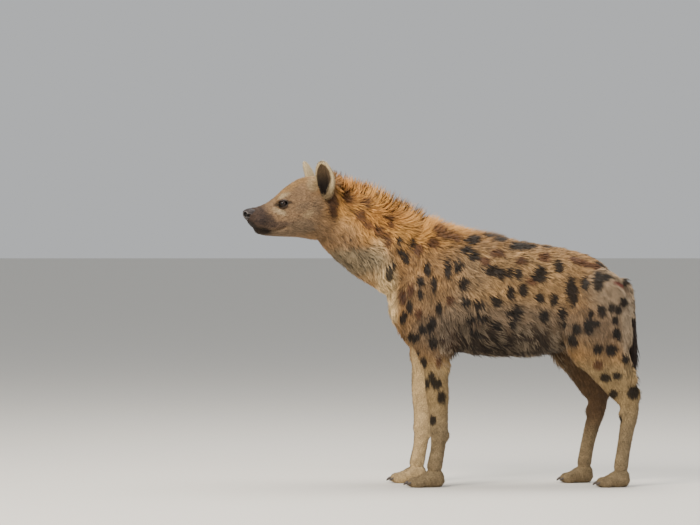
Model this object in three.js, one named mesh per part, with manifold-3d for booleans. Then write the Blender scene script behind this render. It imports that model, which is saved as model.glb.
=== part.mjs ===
// A spotted hyena, life size, standing with its head raised, as a still museum model.
// Millimetres, +Z up, floor at Z = 0. The animal faces -X, so its left flank is towards -Y.
// Every solid is the outside of the coat. Forms are round three.js geometries whose rings are
// laid along a curve; they are joined into one animal, which thin cuts then part into its pieces.
import * as THREE from "three";
import { mergeVertices } from "three/addons/utils/BufferGeometryUtils.js";
import Module from "manifold-3d";

const wasm = await Module();
wasm.setup();

// Driving dimensions
const GAP = 0.3;
const CUTTER = 3000;
const HEAD_TURN = THREE.MathUtils.degToRad(15);
const HEAD_PIVOT_X = -350;
const FORE_STRIDE = -52;
const HIND_STRIDE = -104;
const STRIDE_TOP = 620;
const STRIDE_FOOT = 60;
const PAW_TOP = 76;
const SOLE_SINK = 2.5;
const EYE_RADIUS = 12;
const EYE_CENTRE = new THREE.Vector3(-516, -45, 886);
const EYE_LOOKS = new THREE.Vector3(-0.58, -0.8, 0.12).normalize();
const EAR_HEIGHT = 120;
const EAR_HALF_WIDTH = 41;
const EAR_RIM = 4.5;
const EAR_ROOT = new THREE.Vector3(-384, 64, 906);
const EAR_SPLAY = THREE.MathUtils.degToRad(17);
const EAR_LEAN = THREE.MathUtils.degToRad(-5);
const EAR_OPENS = THREE.MathUtils.degToRad(52);
const LIP_GAP = 2.4;
const LIP_DEPTH = 5;
const LOCK_SIDES = 4;
const LOCK_SPANS = 3;
const LOCK_SINK = 14;
const LOCK_BELLY = 1.2;

// Colours of the coat and of the bare parts
const COAT = 0xb4936a;
const MANE = 0xb98a52;
const FACE = 0x8c745d;
const EAR_FUR = 0xa3927c;
const LEG_FUR = 0x9c8468;
const TAIL_DARK = 0x3a2c22;
const NOSE_SKIN = 0x2a2422;
const HORN = 0x3b332c;
const EYE_BROWN = 0x1d130c;

function signedPower(value, power) {
  return Math.sign(value) * Math.abs(value) ** power;
}

function solidOf(geometry) {
  const bare = geometry.clone();
  bare.deleteAttribute("normal");
  bare.deleteAttribute("uv");
  const merged = mergeVertices(bare, 1e-3);
  return new wasm.Manifold(
    new wasm.Mesh({
      numProp: 3,
      vertProperties: new Float32Array(merged.attributes.position.array),
      triVerts: new Uint32Array(merged.index.array),
    }),
  );
}

function geometryOf(solid) {
  const mesh = solid.getMesh();
  const places = new Float32Array(mesh.numVert * 3);
  for (let i = 0; i < mesh.numVert; i++) {
    places.set(mesh.vertProperties.subarray(i * mesh.numProp, i * mesh.numProp + 3), i * 3);
  }
  const geometry = new THREE.BufferGeometry();
  geometry.setAttribute("position", new THREE.BufferAttribute(places, 3));
  geometry.setIndex(new THREE.BufferAttribute(new Uint32Array(mesh.triVerts), 1));
  geometry.computeVertexNormals();
  return geometry;
}

function joined(solids) {
  return solids.reduce((all, next) => all.add(next));
}

// The largest closed surface of a solid: loose scraps go, and sealed hollows are filled.
function largest(solid) {
  const bodies = solid.decompose();
  return bodies.reduce((best, next) => (next.volume() > best.volume() ? next : best));
}

// A form is a round body whose rings follow a curve. Each station gives the middle of a ring
// and its reach to the side, to the top (or the front, on a leg) and to the bottom (or the back).
// egg narrows the top of the rings and widens their bottom. grow is an even extra reach.
function formOf(stations, { around = 16, perSpan = 2, square = 1, egg = 0, grow = 0 } = {}) {
  const middle = new THREE.CatmullRomCurve3(
    stations.map((s) => new THREE.Vector3(s.x, s.y ?? 0, s.z)),
  );
  const reach = new THREE.CatmullRomCurve3(
    stations.map((s) => new THREE.Vector3(s.side ?? 0, s.up ?? 0, s.down ?? 0)),
  );

  // turn runs once round a ring: 0 at its left side, a quarter at the bottom, a half at the
  // right side and three quarters at the top.
  function pointAt(along, turn) {
    const ahead = middle.getTangent(along);
    const side = new THREE.Vector3(0, 1, 0).addScaledVector(ahead, -ahead.y).normalize();
    const top = side.clone().cross(ahead);
    const size = reach.getPoint(along);
    const across = -Math.cos(turn * 2 * Math.PI);
    const rise = -Math.sin(turn * 2 * Math.PI);
    const high = (rise > 0 ? size.y : size.z) + grow;
    const wide = (size.x + grow) * (1 - egg * rise);
    return middle
      .getPoint(along)
      .addScaledVector(side, wide * signedPower(across, square))
      .addScaledVector(top, high * signedPower(rise, square));
  }

  function solid() {
    const rings = (stations.length - 1) * perSpan;
    const ball = new THREE.SphereGeometry(1, around, rings);
    const places = ball.getAttribute("position");
    for (let ring = 0; ring <= rings; ring++) {
      for (let step = 0; step <= around; step++) {
        const pole = ring === 0 || ring === rings;
        const along = ring / rings;
        const point = pole ? middle.getPoint(along) : pointAt(along, (step % around) / around);
        places.setXYZ(ring * (around + 1) + step, point.x, point.y, point.z);
      }
    }
    return solidOf(ball);
  }

  return { middle, pointAt, solid };
}

function ellipsoid(x, y, z, alongX, alongY, alongZ, around = 8, rings = 6) {
  const ball = new THREE.SphereGeometry(1, around, rings);
  return solidOf(ball.scale(alongX, alongY, alongZ).translate(x, y, z));
}

// A cut is a plane that is seen edge-on from the flank, as a line from one point [x, z] to
// another. This is all that lies on the left of that line, less the gap beside it.
function leftOf([fromX, fromZ], [toX, toZ], gap = GAP / 2) {
  const block = new THREE.BoxGeometry(CUTTER, CUTTER, CUTTER);
  block.translate(CUTTER / 2 + gap, 0, 0);
  block.rotateY(Math.atan2(fromX - toX, fromZ - toZ)).translate(fromX, 0, fromZ);
  return solidOf(block);
}

// All that lies on one flank's side of the middle of the body
function flankSide(sign) {
  const block = new THREE.BoxGeometry(CUTTER, CUTTER, CUTTER);
  return solidOf(block.translate(0, (sign * (CUTTER + GAP)) / 2, 0));
}

// Torso, from the buttocks to the breast
function torsoForm(grow = 0) {
  return formOf(
    [
      { x: 594 + grow, z: 596 },
      { x: 574, z: 586, side: 56, up: 74, down: 78 },
      { x: 510, z: 580, side: 104, up: 117, down: 112 },
      { x: 419, z: 590, side: 122, up: 148, down: 150 },
      { x: 340, z: 588, side: 126, up: 163, down: 172 },
      { x: 246, z: 588, side: 136, up: 174, down: 181 },
      { x: 151, z: 592, side: 144, up: 184, down: 182 },
      { x: 72, z: 600, side: 143, up: 192, down: 183 },
      { x: -6, z: 610, side: 134, up: 198, down: 182 },
      { x: -69, z: 618, side: 122, up: 196, down: 178 },
      { x: -126, z: 622, side: 102, up: 156, down: 154 },
      { x: -166, z: 620, side: 68, up: 90, down: 96 },
      { x: -184, z: 616 },
    ],
    { around: 22, perSpan: 1, square: 0.92, egg: 0.06, grow },
  );
}

// Neck, from inside the chest to inside the skull. Its top carries the low core of the mane.
const neckForm = formOf(
  [
    { x: -30, z: 590 },
    { x: -85, z: 627, side: 100, up: 150, down: 74 },
    { x: -157, z: 687, side: 98, up: 156, down: 80 },
    { x: -231, z: 747, side: 88, up: 140, down: 88 },
    { x: -306, z: 807, side: 80, up: 121, down: 89 },
    { x: -368, z: 858, side: 72, up: 96, down: 92 },
    { x: -410, z: 880 },
  ],
  { around: 20, perSpan: 2, egg: 0.2 },
);

// Head, modelled looking straight ahead and then turned towards the left flank
const HEAD_STATIONS = [
  { x: -312, z: 884 },
  { x: -340, z: 877, side: 62, up: 72, down: 78 },
  { x: -373, z: 873, side: 78, up: 94, down: 94 },
  { x: -407, z: 874, side: 86, up: 99, down: 100 },
  { x: -443, z: 873, side: 86, up: 96, down: 95 },
  { x: -474, z: 867, side: 78, up: 88, down: 86 },
  { x: -505, z: 857, side: 62, up: 76, down: 75 },
  { x: -534, z: 845, side: 49, up: 62, down: 62 },
  { x: -563, z: 839, side: 43, up: 50, down: 53 },
  { x: -590, z: 839, side: 40, up: 40, down: 45 },
  { x: -608, z: 843, side: 34, up: 31, down: 32 },
  { x: -619, z: 847, side: 20, up: 17, down: 18 },
  { x: -624, z: 849 },
];
const HEAD_ROUND = { around: 18, perSpan: 2, square: 0.86, egg: 0.14 };

const headTurn = new THREE.Matrix4()
  .makeTranslation(HEAD_PIVOT_X, 0, 0)
  .multiply(new THREE.Matrix4().makeRotationZ(HEAD_TURN))
  .multiply(new THREE.Matrix4().makeTranslation(-HEAD_PIVOT_X, 0, 0));

function turned(solid) {
  return solid.transform(headTurn.toArray());
}

// The brow above the eye and the padded upper lip
function faceMasses(sign) {
  return [ellipsoid(-507, sign * 36, 906, 30, 14, 12), ellipsoid(-578, sign * 27, 832, 40, 17, 24)];
}

// The eye's own frame: z looks out of the socket and x runs back along the lids.
function eyeFrame(sign) {
  const out = new THREE.Vector3(EYE_LOOKS.x, -sign * EYE_LOOKS.y, EYE_LOOKS.z);
  const back = new THREE.Vector3(1, 0, 0.12).projectOnPlane(out).normalize();
  const frame = new THREE.Matrix4().makeBasis(back, out.clone().cross(back), out);
  return frame.setPosition(EYE_CENTRE.x, -sign * EYE_CENTRE.y, EYE_CENTRE.z);
}

function eyeball(sign, grow = 0) {
  const ball = new THREE.SphereGeometry(EYE_RADIUS + grow, 12, 8);
  return solidOf(ball.applyMatrix4(eyeFrame(sign)));
}

// The shallow hollow in which the eye lies, open to the front
function orbit(sign) {
  const bowl = new THREE.SphereGeometry(1, 12, 8).scale(17, 12, 12).translate(0, 0, 16);
  return solidOf(bowl.applyMatrix4(eyeFrame(sign)));
}

// Two lids as one soft ring that is wider than high and wraps the front of the eyeball
function lids(sign) {
  const ring = new THREE.TorusGeometry(10.6, 4.2, 6, 12);
  ring.scale(1.26, 0.86, 1).translate(0, 0, 6.4);
  return solidOf(ring.applyMatrix4(eyeFrame(sign)));
}

// The nose pad is broad and blunt. A comma-shaped nostril opens on each side of its front.
function nosePad(grow = 0) {
  const pad = formOf(
    [
      { x: -600 + grow, z: 858 },
      { x: -605, z: 857, side: 17, up: 15, down: 15 },
      { x: -617, z: 855, side: 20, up: 16, down: 19 },
      { x: -629, z: 852, side: 18, up: 13, down: 17 },
      { x: -635 - grow, z: 850 },
    ],
    { around: 12, perSpan: 2, square: 0.8, grow },
  );
  return pad.solid();
}

function nostril(sign) {
  const hole = ellipsoid(-632, sign * 11, 853, 10, 5, 5, 8, 6);
  const slit = ellipsoid(-625, sign * 19, 849, 12, 5, 2.6, 8, 6);
  return hole.add(slit);
}

// The line of the mouth, cut as a thin curved blade that goes only as deep as the lips
const MOUTH_LINE = [
  [-640, 837],
  [-618, 826],
  [-604, 812],
  [-586, 803],
  [-560, 801],
  [-535, 806],
  [-512, 819],
  [-500, 826],
];

function mouthGroove() {
  const line = new THREE.SplineCurve(MOUTH_LINE.map(([x, z]) => new THREE.Vector2(x, z)));
  const points = line.getPoints(9);
  const above = points.map((p) => new THREE.Vector2(p.x, p.y + LIP_GAP / 2));
  const below = points.map((p) => new THREE.Vector2(p.x, p.y - LIP_GAP / 2)).reverse();
  const outline = new THREE.Shape([...above, ...below]);
  const blade = new THREE.ExtrudeGeometry(outline, { depth: 240, bevelEnabled: false });
  blade.rotateX(Math.PI / 2).translate(0, 120, 0);
  const insideLips = formOf(HEAD_STATIONS, { ...HEAD_ROUND, perSpan: 1, grow: -LIP_DEPTH }).solid();
  return solidOf(blade).subtract(insideLips);
}

let skull = joined([formOf(HEAD_STATIONS, HEAD_ROUND).solid(), ...faceMasses(-1), ...faceMasses(1)]);
skull = skull.subtract(mouthGroove()).subtract(orbit(-1)).subtract(orbit(1));
skull = joined([skull, lids(-1), lids(1)]);
skull = skull.subtract(eyeball(-1, GAP)).subtract(eyeball(1, GAP)).subtract(nosePad(GAP));
skull = turned(skull);
const nose = turned(nosePad().subtract(nostril(-1)).subtract(nostril(1)));

// An ear is a tall rounded cup. z runs from its root to its tip, and y out of its opening.
function earShell(grow = 0) {
  const wide = EAR_HALF_WIDTH;
  const shell = formOf(
    [
      { x: 0, y: 0, z: -14 - grow },
      { x: 0, y: 0, z: 2, side: 19, up: 22, down: 20 },
      { x: 0, y: -3, z: EAR_HEIGHT * 0.26, side: 15, up: wide * 0.86, down: wide * 0.8 },
      { x: 0, y: -5, z: EAR_HEIGHT * 0.52, side: 12, up: wide * 0.98, down: wide },
      { x: 0, y: -5, z: EAR_HEIGHT * 0.77, side: 9, up: wide * 0.76, down: wide * 0.86 },
      { x: 0, y: -3, z: EAR_HEIGHT * 0.93, side: 6, up: wide * 0.42, down: wide * 0.5 },
      { x: 0, y: -1, z: EAR_HEIGHT + grow },
    ],
    { around: 12, perSpan: 2, grow },
  );
  return shell.solid();
}

function earHollow() {
  const wide = EAR_HALF_WIDTH - EAR_RIM;
  const hollow = formOf(
    [
      { x: 0, y: 14, z: 6 },
      { x: 0, y: 14, z: EAR_HEIGHT * 0.14, side: 15, up: wide * 0.34, down: wide * 0.3 },
      { x: 0, y: 14, z: EAR_HEIGHT * 0.34, side: 22, up: wide * 0.72, down: wide * 0.66 },
      { x: 0, y: 14, z: EAR_HEIGHT * 0.56, side: 23, up: wide * 0.88, down: wide * 0.9 },
      { x: 0, y: 14, z: EAR_HEIGHT * 0.77, side: 20, up: wide * 0.64, down: wide * 0.74 },
      { x: 0, y: 14, z: EAR_HEIGHT * 0.9, side: 17, up: wide * 0.3, down: wide * 0.36 },
      { x: 0, y: 14, z: EAR_HEIGHT * 0.955 },
    ],
    { around: 10, perSpan: 2 },
  );
  return hollow.solid();
}

// The right ear is placed, and the left one is its mirror image.
function earPlaced(solid, sign) {
  const place = new THREE.Matrix4()
    .makeTranslation(EAR_ROOT.x, EAR_ROOT.y, EAR_ROOT.z)
    .multiply(new THREE.Matrix4().makeRotationX(-EAR_SPLAY))
    .multiply(new THREE.Matrix4().makeRotationY(EAR_LEAN))
    .multiply(new THREE.Matrix4().makeRotationZ(EAR_OPENS));
  const right = solid.transform(place.toArray());
  return turned(sign > 0 ? right : right.mirror([0, 1, 0]));
}

// Legs. The right ones stand further forward, in a step that grows from the hip to the paw.
const FORELEG = [
  { x: -44, y: 78, z: 705 },
  { x: -66, y: 94, z: 632, side: 38, up: 66, down: 78 },
  { x: -72, y: 100, z: 560, side: 45, up: 86, down: 92 },
  { x: -57, y: 101, z: 495, side: 45, up: 84, down: 88 },
  { x: -35, y: 97, z: 438, side: 40, up: 60, down: 64 },
  { x: -22, y: 92, z: 375, side: 34, up: 43, down: 44 },
  { x: -17, y: 90, z: 299, side: 30, up: 41, down: 38 },
  { x: -13, y: 88, z: 230, side: 27, up: 34, down: 34 },
  { x: -11, y: 87, z: 173, side: 28, up: 31, down: 31 },
  { x: -16, y: 87, z: 117, side: 26, up: 26, down: 27 },
  { x: -25, y: 87, z: 63, side: 30, up: 28, down: 27 },
  { x: -32, y: 87, z: 20 },
];

const HINDLEG = [
  { x: 500, y: 60, z: 690 },
  { x: 486, y: 70, z: 632, side: 46, up: 80, down: 74 },
  { x: 484, y: 78, z: 556, side: 54, up: 108, down: 104 },
  { x: 487, y: 86, z: 488, side: 55, up: 115, down: 108 },
  { x: 496, y: 90, z: 435, side: 49, up: 100, down: 100 },
  { x: 515, y: 92, z: 394, side: 42, up: 78, down: 78 },
  { x: 535, y: 92, z: 353, side: 36, up: 62, down: 62 },
  { x: 558, y: 91, z: 312, side: 31, up: 50, down: 51 },
  { x: 580, y: 90, z: 274, side: 28, up: 38, down: 38 },
  { x: 585, y: 88, z: 234, side: 25, up: 32, down: 32 },
  { x: 577, y: 87, z: 180, side: 23, up: 28, down: 27 },
  { x: 567, y: 87, z: 120, side: 23, up: 26, down: 25 },
  { x: 558, y: 87, z: 63, side: 27, up: 26, down: 26 },
  { x: 551, y: 87, z: 20 },
];

function strideAt(z, stride) {
  const share = THREE.MathUtils.smoothstep(STRIDE_TOP - z, 0, STRIDE_TOP - STRIDE_FOOT);
  return stride * Math.sqrt(share);
}

function legSolid({ stations, stride, sign }) {
  const placed = stations.map((s) => ({ ...s, x: s.x + strideAt(s.z, stride), y: sign * s.y }));
  return formOf(placed, { around: 12, perSpan: 1, square: 0.95 }).solid();
}

// A paw has four toes in an arc and a flat sole. The fore paws are the broader pair.
const TOES = [
  { y: -29, ahead: -52 },
  { y: -10.5, ahead: -61 },
  { y: 10.5, ahead: -61 },
  { y: 29, ahead: -52 },
];
const TOE_TIP = -20;

// The left of an upright line at x is all that lies behind it, towards the tail.
function behindX(x, gap) {
  return leftOf([x, 1], [x, 0], gap);
}

function aheadOfX(x, gap) {
  return leftOf([x, 0], [x, 1], gap);
}

function pawSolid({ x, y, size }) {
  const palm = formOf(
    [
      { x: x + 36 * size, y, z: 22 },
      { x: x + 26 * size, y, z: 24, side: 23 * size, up: 25, down: 23 },
      { x: x + 4 * size, y, z: 28, side: 32 * size, up: 38, down: 30 },
      { x: x - 20 * size, y, z: 27, side: 37 * size, up: 30, down: 29 },
      { x: x - 44 * size, y, z: 21, side: 34 * size, up: 20, down: 22 },
      { x: x - 60 * size, y, z: 18 },
    ],
    { around: 10, perSpan: 1, square: 0.9 },
  ).solid();
  const toes = TOES.map((toe) => {
    const middle = x + toe.ahead * size;
    const round = ellipsoid(middle, y + toe.y * size, 17, 25 * size, 11.5 * size, 18, 8, 5);
    return round.intersect(behindX(middle + TOE_TIP * size, 0));
  });
  return joined([palm, ...toes]).translate([0, 0, -SOLE_SINK]);
}

// Blunt claws grow from the flat ends of the toes and point forwards and a little down.
function clawSolids({ x, y, size }) {
  return TOES.map((toe) => {
    const tip = x + (toe.ahead + TOE_TIP) * size;
    const rootY = y + toe.y * size;
    const claw = formOf(
      [
        { x: tip + 9, y: rootY, z: 15 },
        { x: tip + 4, y: rootY, z: 15, side: 3.8 * size, up: 4.6 * size, down: 4.6 * size },
        { x: tip - 6 * size, y: rootY, z: 14, side: 3.2 * size, up: 4 * size, down: 4 * size },
        { x: tip - 14 * size, y: rootY, z: 9, side: 2 * size, up: 2.2 * size, down: 2.2 * size },
        { x: tip - 17 * size, y: rootY, z: 6 },
      ],
      { around: 6, perSpan: 1 },
    );
    return claw.solid().intersect(aheadOfX(tip, GAP));
  });
}

const LEG_PAIRS = [
  { kind: "fore", stations: FORELEG, stride: FORE_STRIDE, size: 1 },
  { kind: "hind", stations: HINDLEG, stride: HIND_STRIDE, size: 0.9 },
];
const FLANKS = [
  { flank: "left", sign: -1 },
  { flank: "right", sign: 1 },
];
const limbs = LEG_PAIRS.flatMap((pair) =>
  FLANKS.map(({ flank, sign }) => {
    const stride = sign > 0 ? pair.stride : 0;
    const ankle = pair.stations[pair.stations.length - 2];
    return { ...pair, flank, sign, stride, x: ankle.x + strideAt(ankle.z, stride), y: sign * ankle.y };
  }),
);

// Tail: it hangs from the root, close behind the thighs, and ends in a long tuft.
const tailForm = formOf(
  [
    { x: 545, z: 656 },
    { x: 578, z: 644, side: 18, up: 16, down: 16 },
    { x: 599, z: 614, side: 17, up: 14, down: 14 },
    { x: 606, z: 574, side: 15, up: 12, down: 12 },
    { x: 607, z: 525, side: 13, up: 11, down: 11 },
    { x: 606, z: 475, side: 11, up: 9, down: 9 },
    { x: 604, z: 430, side: 9, up: 8, down: 8 },
    { x: 603, z: 405 },
  ],
  { around: 10, perSpan: 1 },
);

// The same row of numbers between 0 and 1 on every run
function seeded(seed) {
  let state = seed;
  return () => {
    state = (state * 1664525 + 1013904223) % 4294967296;
    return state / 4294967296;
  };
}

// A flat, tapered lock of hair. It leaves its root outwards and bends over towards its lie;
// rise is how steeply it ends, from 0 along the lie to 1 straight out. broad is the direction
// of its width.
function lockSolid(root, outward, { lie, broad, length, width, thick, rise }) {
  const along = lie.clone().projectOnPlane(outward).normalize();
  const spine = new THREE.QuadraticBezierCurve3(
    root.clone().addScaledVector(outward, -LOCK_SINK),
    root.clone().addScaledVector(outward, length * (0.2 + 0.3 * rise)),
    root
      .clone()
      .addScaledVector(outward, length * rise)
      .addScaledVector(along, length * Math.sqrt(1 - rise * rise)),
  );
  const cone = new THREE.ConeGeometry(1, 1, LOCK_SIDES, LOCK_SPANS);
  const places = cone.getAttribute("position");
  for (let i = 0; i < places.count; i++) {
    const share = places.getY(i) + 0.5;
    const tangent = spine.getTangent(share);
    const wide = broad.clone().projectOnPlane(tangent).normalize();
    const flat = wide.clone().cross(tangent);
    const fullness = 1 + LOCK_BELLY * share * (1 - share);
    const point = spine
      .getPoint(share)
      .addScaledVector(wide, (places.getX(i) * fullness * width) / 2)
      .addScaledVector(flat, (places.getZ(i) * fullness * thick) / 2);
    places.setXYZ(i, point.x, point.y, point.z);
  }
  return solidOf(cone);
}

// Locks in staggered rows over one form. Each row keeps one turn round the form. lay tells how
// a lock lies, from its share of the way along the row and its row's place from -1 to 1, and
// grows tells whether one grows at that root at all.
function lockField(form, { from, to, count, rows, firstTurn, lastTurn, seed, lay, grows = () => true }) {
  const draw = seeded(seed);
  const locks = [];
  for (let row = 0; row < rows; row++) {
    const across = (2 * row) / (rows - 1) - 1;
    for (let step = 0; step < count; step++) {
      const share = (step + 0.25 + 0.5 * (row % 2) + 0.3 * (draw() - 0.5)) / count;
      const along = THREE.MathUtils.lerp(from(across), to(across), share);
      const turn = THREE.MathUtils.lerp(firstTurn, lastTurn, (across + 1) / 2);
      const root = form.pointAt(along, turn + 0.012 * (draw() - 0.5));
      const outward = root.clone().sub(form.middle.getPoint(along)).normalize();
      const shape = lay(share, across, draw);
      if (grows(root)) {
        locks.push(lockSolid(root, outward, shape));
      }
    }
  }
  return joined(locks);
}

// Mane: on the crest of the neck it stands on end and leans forwards near the ears, at its sides
// it is combed down and back, and from the withers on it is laid back more and more.
const UP_THE_NECK = new THREE.Vector3(-0.78, 0, 0.63);

function neckMane(grows) {
  return lockField(neckForm, {
    from: (across) => 0.3 - 0.02 * Math.abs(across),
    to: (across) => 0.95 - 0.05 * Math.abs(across),
    count: 11,
    rows: 7,
    firstTurn: 0.61,
    lastTurn: 0.89,
    seed: 11,
    grows,
    lay: (share, across, draw) => {
      const aside = Math.abs(across);
      const forwards = THREE.MathUtils.lerp(-0.5, 0.3, share) * (1 - aside);
      const combed = new THREE.Vector3(0.5, 1.1 * across, -1).multiplyScalar(aside);
      const lie = UP_THE_NECK.clone().multiplyScalar(forwards).add(combed);
      lie.y += 0.2 * (draw() - 0.5);
      return {
        lie,
        broad: new THREE.Vector3(0.8, 0.5 * (draw() - 0.5), -0.6),
        length: THREE.MathUtils.lerp(56, 66, share) + 12 * (draw() - 0.5),
        width: 36,
        thick: 14,
        rise: THREE.MathUtils.lerp(Math.sqrt(1 - forwards * forwards), 0.24, aside),
      };
    },
  });
}

function backMane() {
  return lockField(torsoForm(), {
    from: () => 0.52,
    to: () => 0.76,
    count: 6,
    rows: 5,
    firstTurn: 0.69,
    lastTurn: 0.81,
    seed: 23,
    lay: (share, across, draw) => {
      const aside = Math.abs(across);
      const steep = THREE.MathUtils.smoothstep(share, 0.35, 0.8) * (1 - aside);
      return {
        lie: new THREE.Vector3(1, 0.5 * across + 0.25 * (draw() - 0.5), 0),
        broad: new THREE.Vector3(0.8 * steep, 1 - steep, 0.9 * steep),
        length: THREE.MathUtils.lerp(40, 66, share) + 8 * (draw() - 0.5),
        width: 36,
        thick: 12,
        rise: THREE.MathUtils.lerp(0.14, 0.62, share) * (1 - 0.5 * aside),
      };
    },
  });
}

// Tail tuft: tiers of locks that hang down round the thin end of the tail
function tailTuft() {
  return lockField(tailForm, {
    from: () => 0.6,
    to: () => 0.97,
    count: 3,
    rows: 3,
    firstTurn: 0.08,
    lastTurn: 0.75,
    seed: 27,
    lay: (share, across, draw) => ({
      lie: new THREE.Vector3(0, 0, -1),
      broad: new THREE.Vector3(Math.sin(across * 4), Math.cos(across * 4), 0),
      length: THREE.MathUtils.lerp(76, 44, share) + 8 * (draw() - 0.5),
      width: 18,
      thick: 8,
      rise: 0.1,
    }),
  });
}

// Where the thin cuts pass, seen from the flank
const NAPE_TOP = [-316, 1000];
const NAPE_THROAT = [-378, 740];
const WITHERS_TOP = [-92, 880];
const WITHERS_BREAST = [-196, 588];
const ELBOW_FRONT = [-190, 460];
const ELBOW_REAR = [60, 400];
const GROIN_FRONT = [336, 440];
const GROIN_REAR = [660, 560];
const BEHIND_FORELEGS_X = 200;
const FLANK_FOLD_X = 348;

const aheadOfNape = leftOf(NAPE_THROAT, NAPE_TOP);
const behindNape = leftOf(NAPE_TOP, NAPE_THROAT);
const aheadOfWithers = leftOf(WITHERS_BREAST, WITHERS_TOP);
const behindWithers = leftOf(WITHERS_TOP, WITHERS_BREAST);

function zoneOfLegs(kind, gap) {
  if (kind === "fore") {
    return leftOf(ELBOW_REAR, ELBOW_FRONT, gap).intersect(aheadOfX(BEHIND_FORELEGS_X, gap));
  }
  return leftOf(GROIN_REAR, GROIN_FRONT, gap).intersect(behindX(FLANK_FOLD_X, gap));
}

const abovePaws = leftOf([0, PAW_TOP], [1, PAW_TOP]);
const belowAnkles = leftOf([1, PAW_TOP], [0, PAW_TOP]);
const aboveFloor = leftOf([0, 0], [1, 0], 0);

// How far forward the cut at the withers lies at a height
function withersX(z) {
  return THREE.MathUtils.mapLinear(z, WITHERS_TOP[1], WITHERS_BREAST[1], WITHERS_TOP[0], WITHERS_BREAST[0]);
}

const animal = joined([
  skull,
  neckForm.solid(),
  torsoForm().solid(),
  ...limbs.map(legSolid),
  ...limbs.map(pawSolid),
]);

const model = new THREE.Group();

function addPiece(name, solid, colour, roughness) {
  const material = new THREE.MeshStandardMaterial({ color: colour, roughness, metalness: 0 });
  const mesh = new THREE.Mesh(geometryOf(largest(solid)), material);
  mesh.name = name;
  model.add(mesh);
}

const headWithSockets = FLANKS.reduce(
  (head, { sign }) => head.subtract(earPlaced(earShell(GAP), sign)),
  animal.intersect(aheadOfNape),
);
addPiece("head", headWithSockets, FACE, 0.9);
const neckSpan = behindNape.intersect(aheadOfWithers);
const neckLocks = neckMane((root) => root.x < withersX(root.z)).intersect(neckSpan);
const withersLocks = neckMane((root) => root.x > withersX(root.z)).intersect(behindWithers);
addPiece("neck", animal.intersect(neckSpan).add(neckLocks), MANE, 0.9);
const trunk = joined([animal.intersect(behindWithers), withersLocks, backMane()])
  .subtract(zoneOfLegs("fore", -GAP / 2))
  .subtract(zoneOfLegs("hind", -GAP / 2));
addPiece("torso", trunk, COAT, 0.9);
addPiece("tail", tailForm.solid().subtract(torsoForm(GAP).solid()).add(tailTuft()), TAIL_DARK, 0.9);
addPiece("nose", nose, NOSE_SKIN, 0.4);

for (const { flank, sign } of FLANKS) {
  addPiece(`ear_${flank}`, earPlaced(earShell().subtract(earHollow()), sign), EAR_FUR, 0.9);
  addPiece(`eye_${flank}`, turned(eyeball(sign)), EYE_BROWN, 0.1);
}

for (const limb of limbs) {
  const { kind, flank, sign } = limb;
  const leg = animal.intersect(zoneOfLegs(kind, GAP / 2)).intersect(flankSide(sign));
  const paw = leg.intersect(belowAnkles).intersect(aboveFloor);
  addPiece(`${kind}leg_${flank}`, leg.intersect(abovePaws), LEG_FUR, 0.9);
  addPiece(`paw_${kind}_${flank}`, paw, LEG_FUR, 0.9);
  clawSolids(limb).forEach((claw, toe) => addPiece(`claw_${kind}_${flank}_${toe + 1}`, claw, HORN, 0.5));
}

export default model;
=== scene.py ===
# %% [markdown]
# # A spotted hyena, life size
# This lesson dresses the solids of a standing hyena. One smooth skin takes the place of all nodes
# of flesh, a coat of solid tufts grows over it, and eyes, nose, ears and claws are pieces of their
# own. The animal faces -X, its left flank looks at the camera, and lengths are in millimetres
# until they reach Blender, which works in metres.

import math

import bpy
import numpy as np
from mathutils import Matrix, Vector


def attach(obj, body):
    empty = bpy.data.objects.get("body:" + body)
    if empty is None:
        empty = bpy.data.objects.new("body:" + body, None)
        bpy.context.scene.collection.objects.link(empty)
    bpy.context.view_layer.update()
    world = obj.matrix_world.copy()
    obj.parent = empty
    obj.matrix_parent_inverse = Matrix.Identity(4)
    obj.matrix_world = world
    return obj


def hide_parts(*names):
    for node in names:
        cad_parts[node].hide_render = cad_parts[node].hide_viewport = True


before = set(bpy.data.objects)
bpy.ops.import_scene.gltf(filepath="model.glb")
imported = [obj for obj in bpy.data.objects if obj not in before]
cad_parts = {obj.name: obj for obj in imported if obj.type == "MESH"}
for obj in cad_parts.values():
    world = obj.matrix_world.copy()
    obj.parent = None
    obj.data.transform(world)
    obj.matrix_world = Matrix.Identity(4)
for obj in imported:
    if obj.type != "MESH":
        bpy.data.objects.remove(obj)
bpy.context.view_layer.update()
MM = 0.001

# %% [markdown]
# The camera comes first, because the markings are placed by where they lie in the photograph. It
# stands far off, as a long lens does, a little above the animal's back. photo_pixel tells where a
# point would appear in a picture of 700 by 525 pixels.

# %% Camera
PHOTO_WIDTH = 700
PHOTO_HEIGHT = 525
CAMERA_AT = Vector((-0.290, -12.0, 1.0))
CAMERA_LOOKS_AT = Vector((-0.290, 0.0, 0.701))
LENS = 196
SENSOR = 36

bpy.ops.object.select_all(action="DESELECT")
view = (CAMERA_LOOKS_AT - CAMERA_AT).to_track_quat("-Z", "Y")
bpy.ops.object.camera_add(location=CAMERA_AT, rotation=view.to_euler())
camera = bpy.context.object
camera.data.lens = LENS
camera.data.sensor_width = SENSOR
bpy.context.scene.camera = camera


def photo_pixel(points):
    """The photo's pixel of each point, as two columns."""
    turn = np.array(view.to_matrix())
    seen = (points - np.array(CAMERA_AT)) @ turn
    scale = PHOTO_WIDTH * LENS / SENSOR
    across = PHOTO_WIDTH / 2 + scale * seen[:, 0] / -seen[:, 2]
    down = PHOTO_HEIGHT / 2 - scale * seen[:, 1] / -seen[:, 2]
    return np.stack([across, down], axis=1)


# %% [markdown]
# Small helpers for the steps that every piece shares: selecting one object alone, applying a
# modifier, joining pieces and setting many vertices at once.

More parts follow.
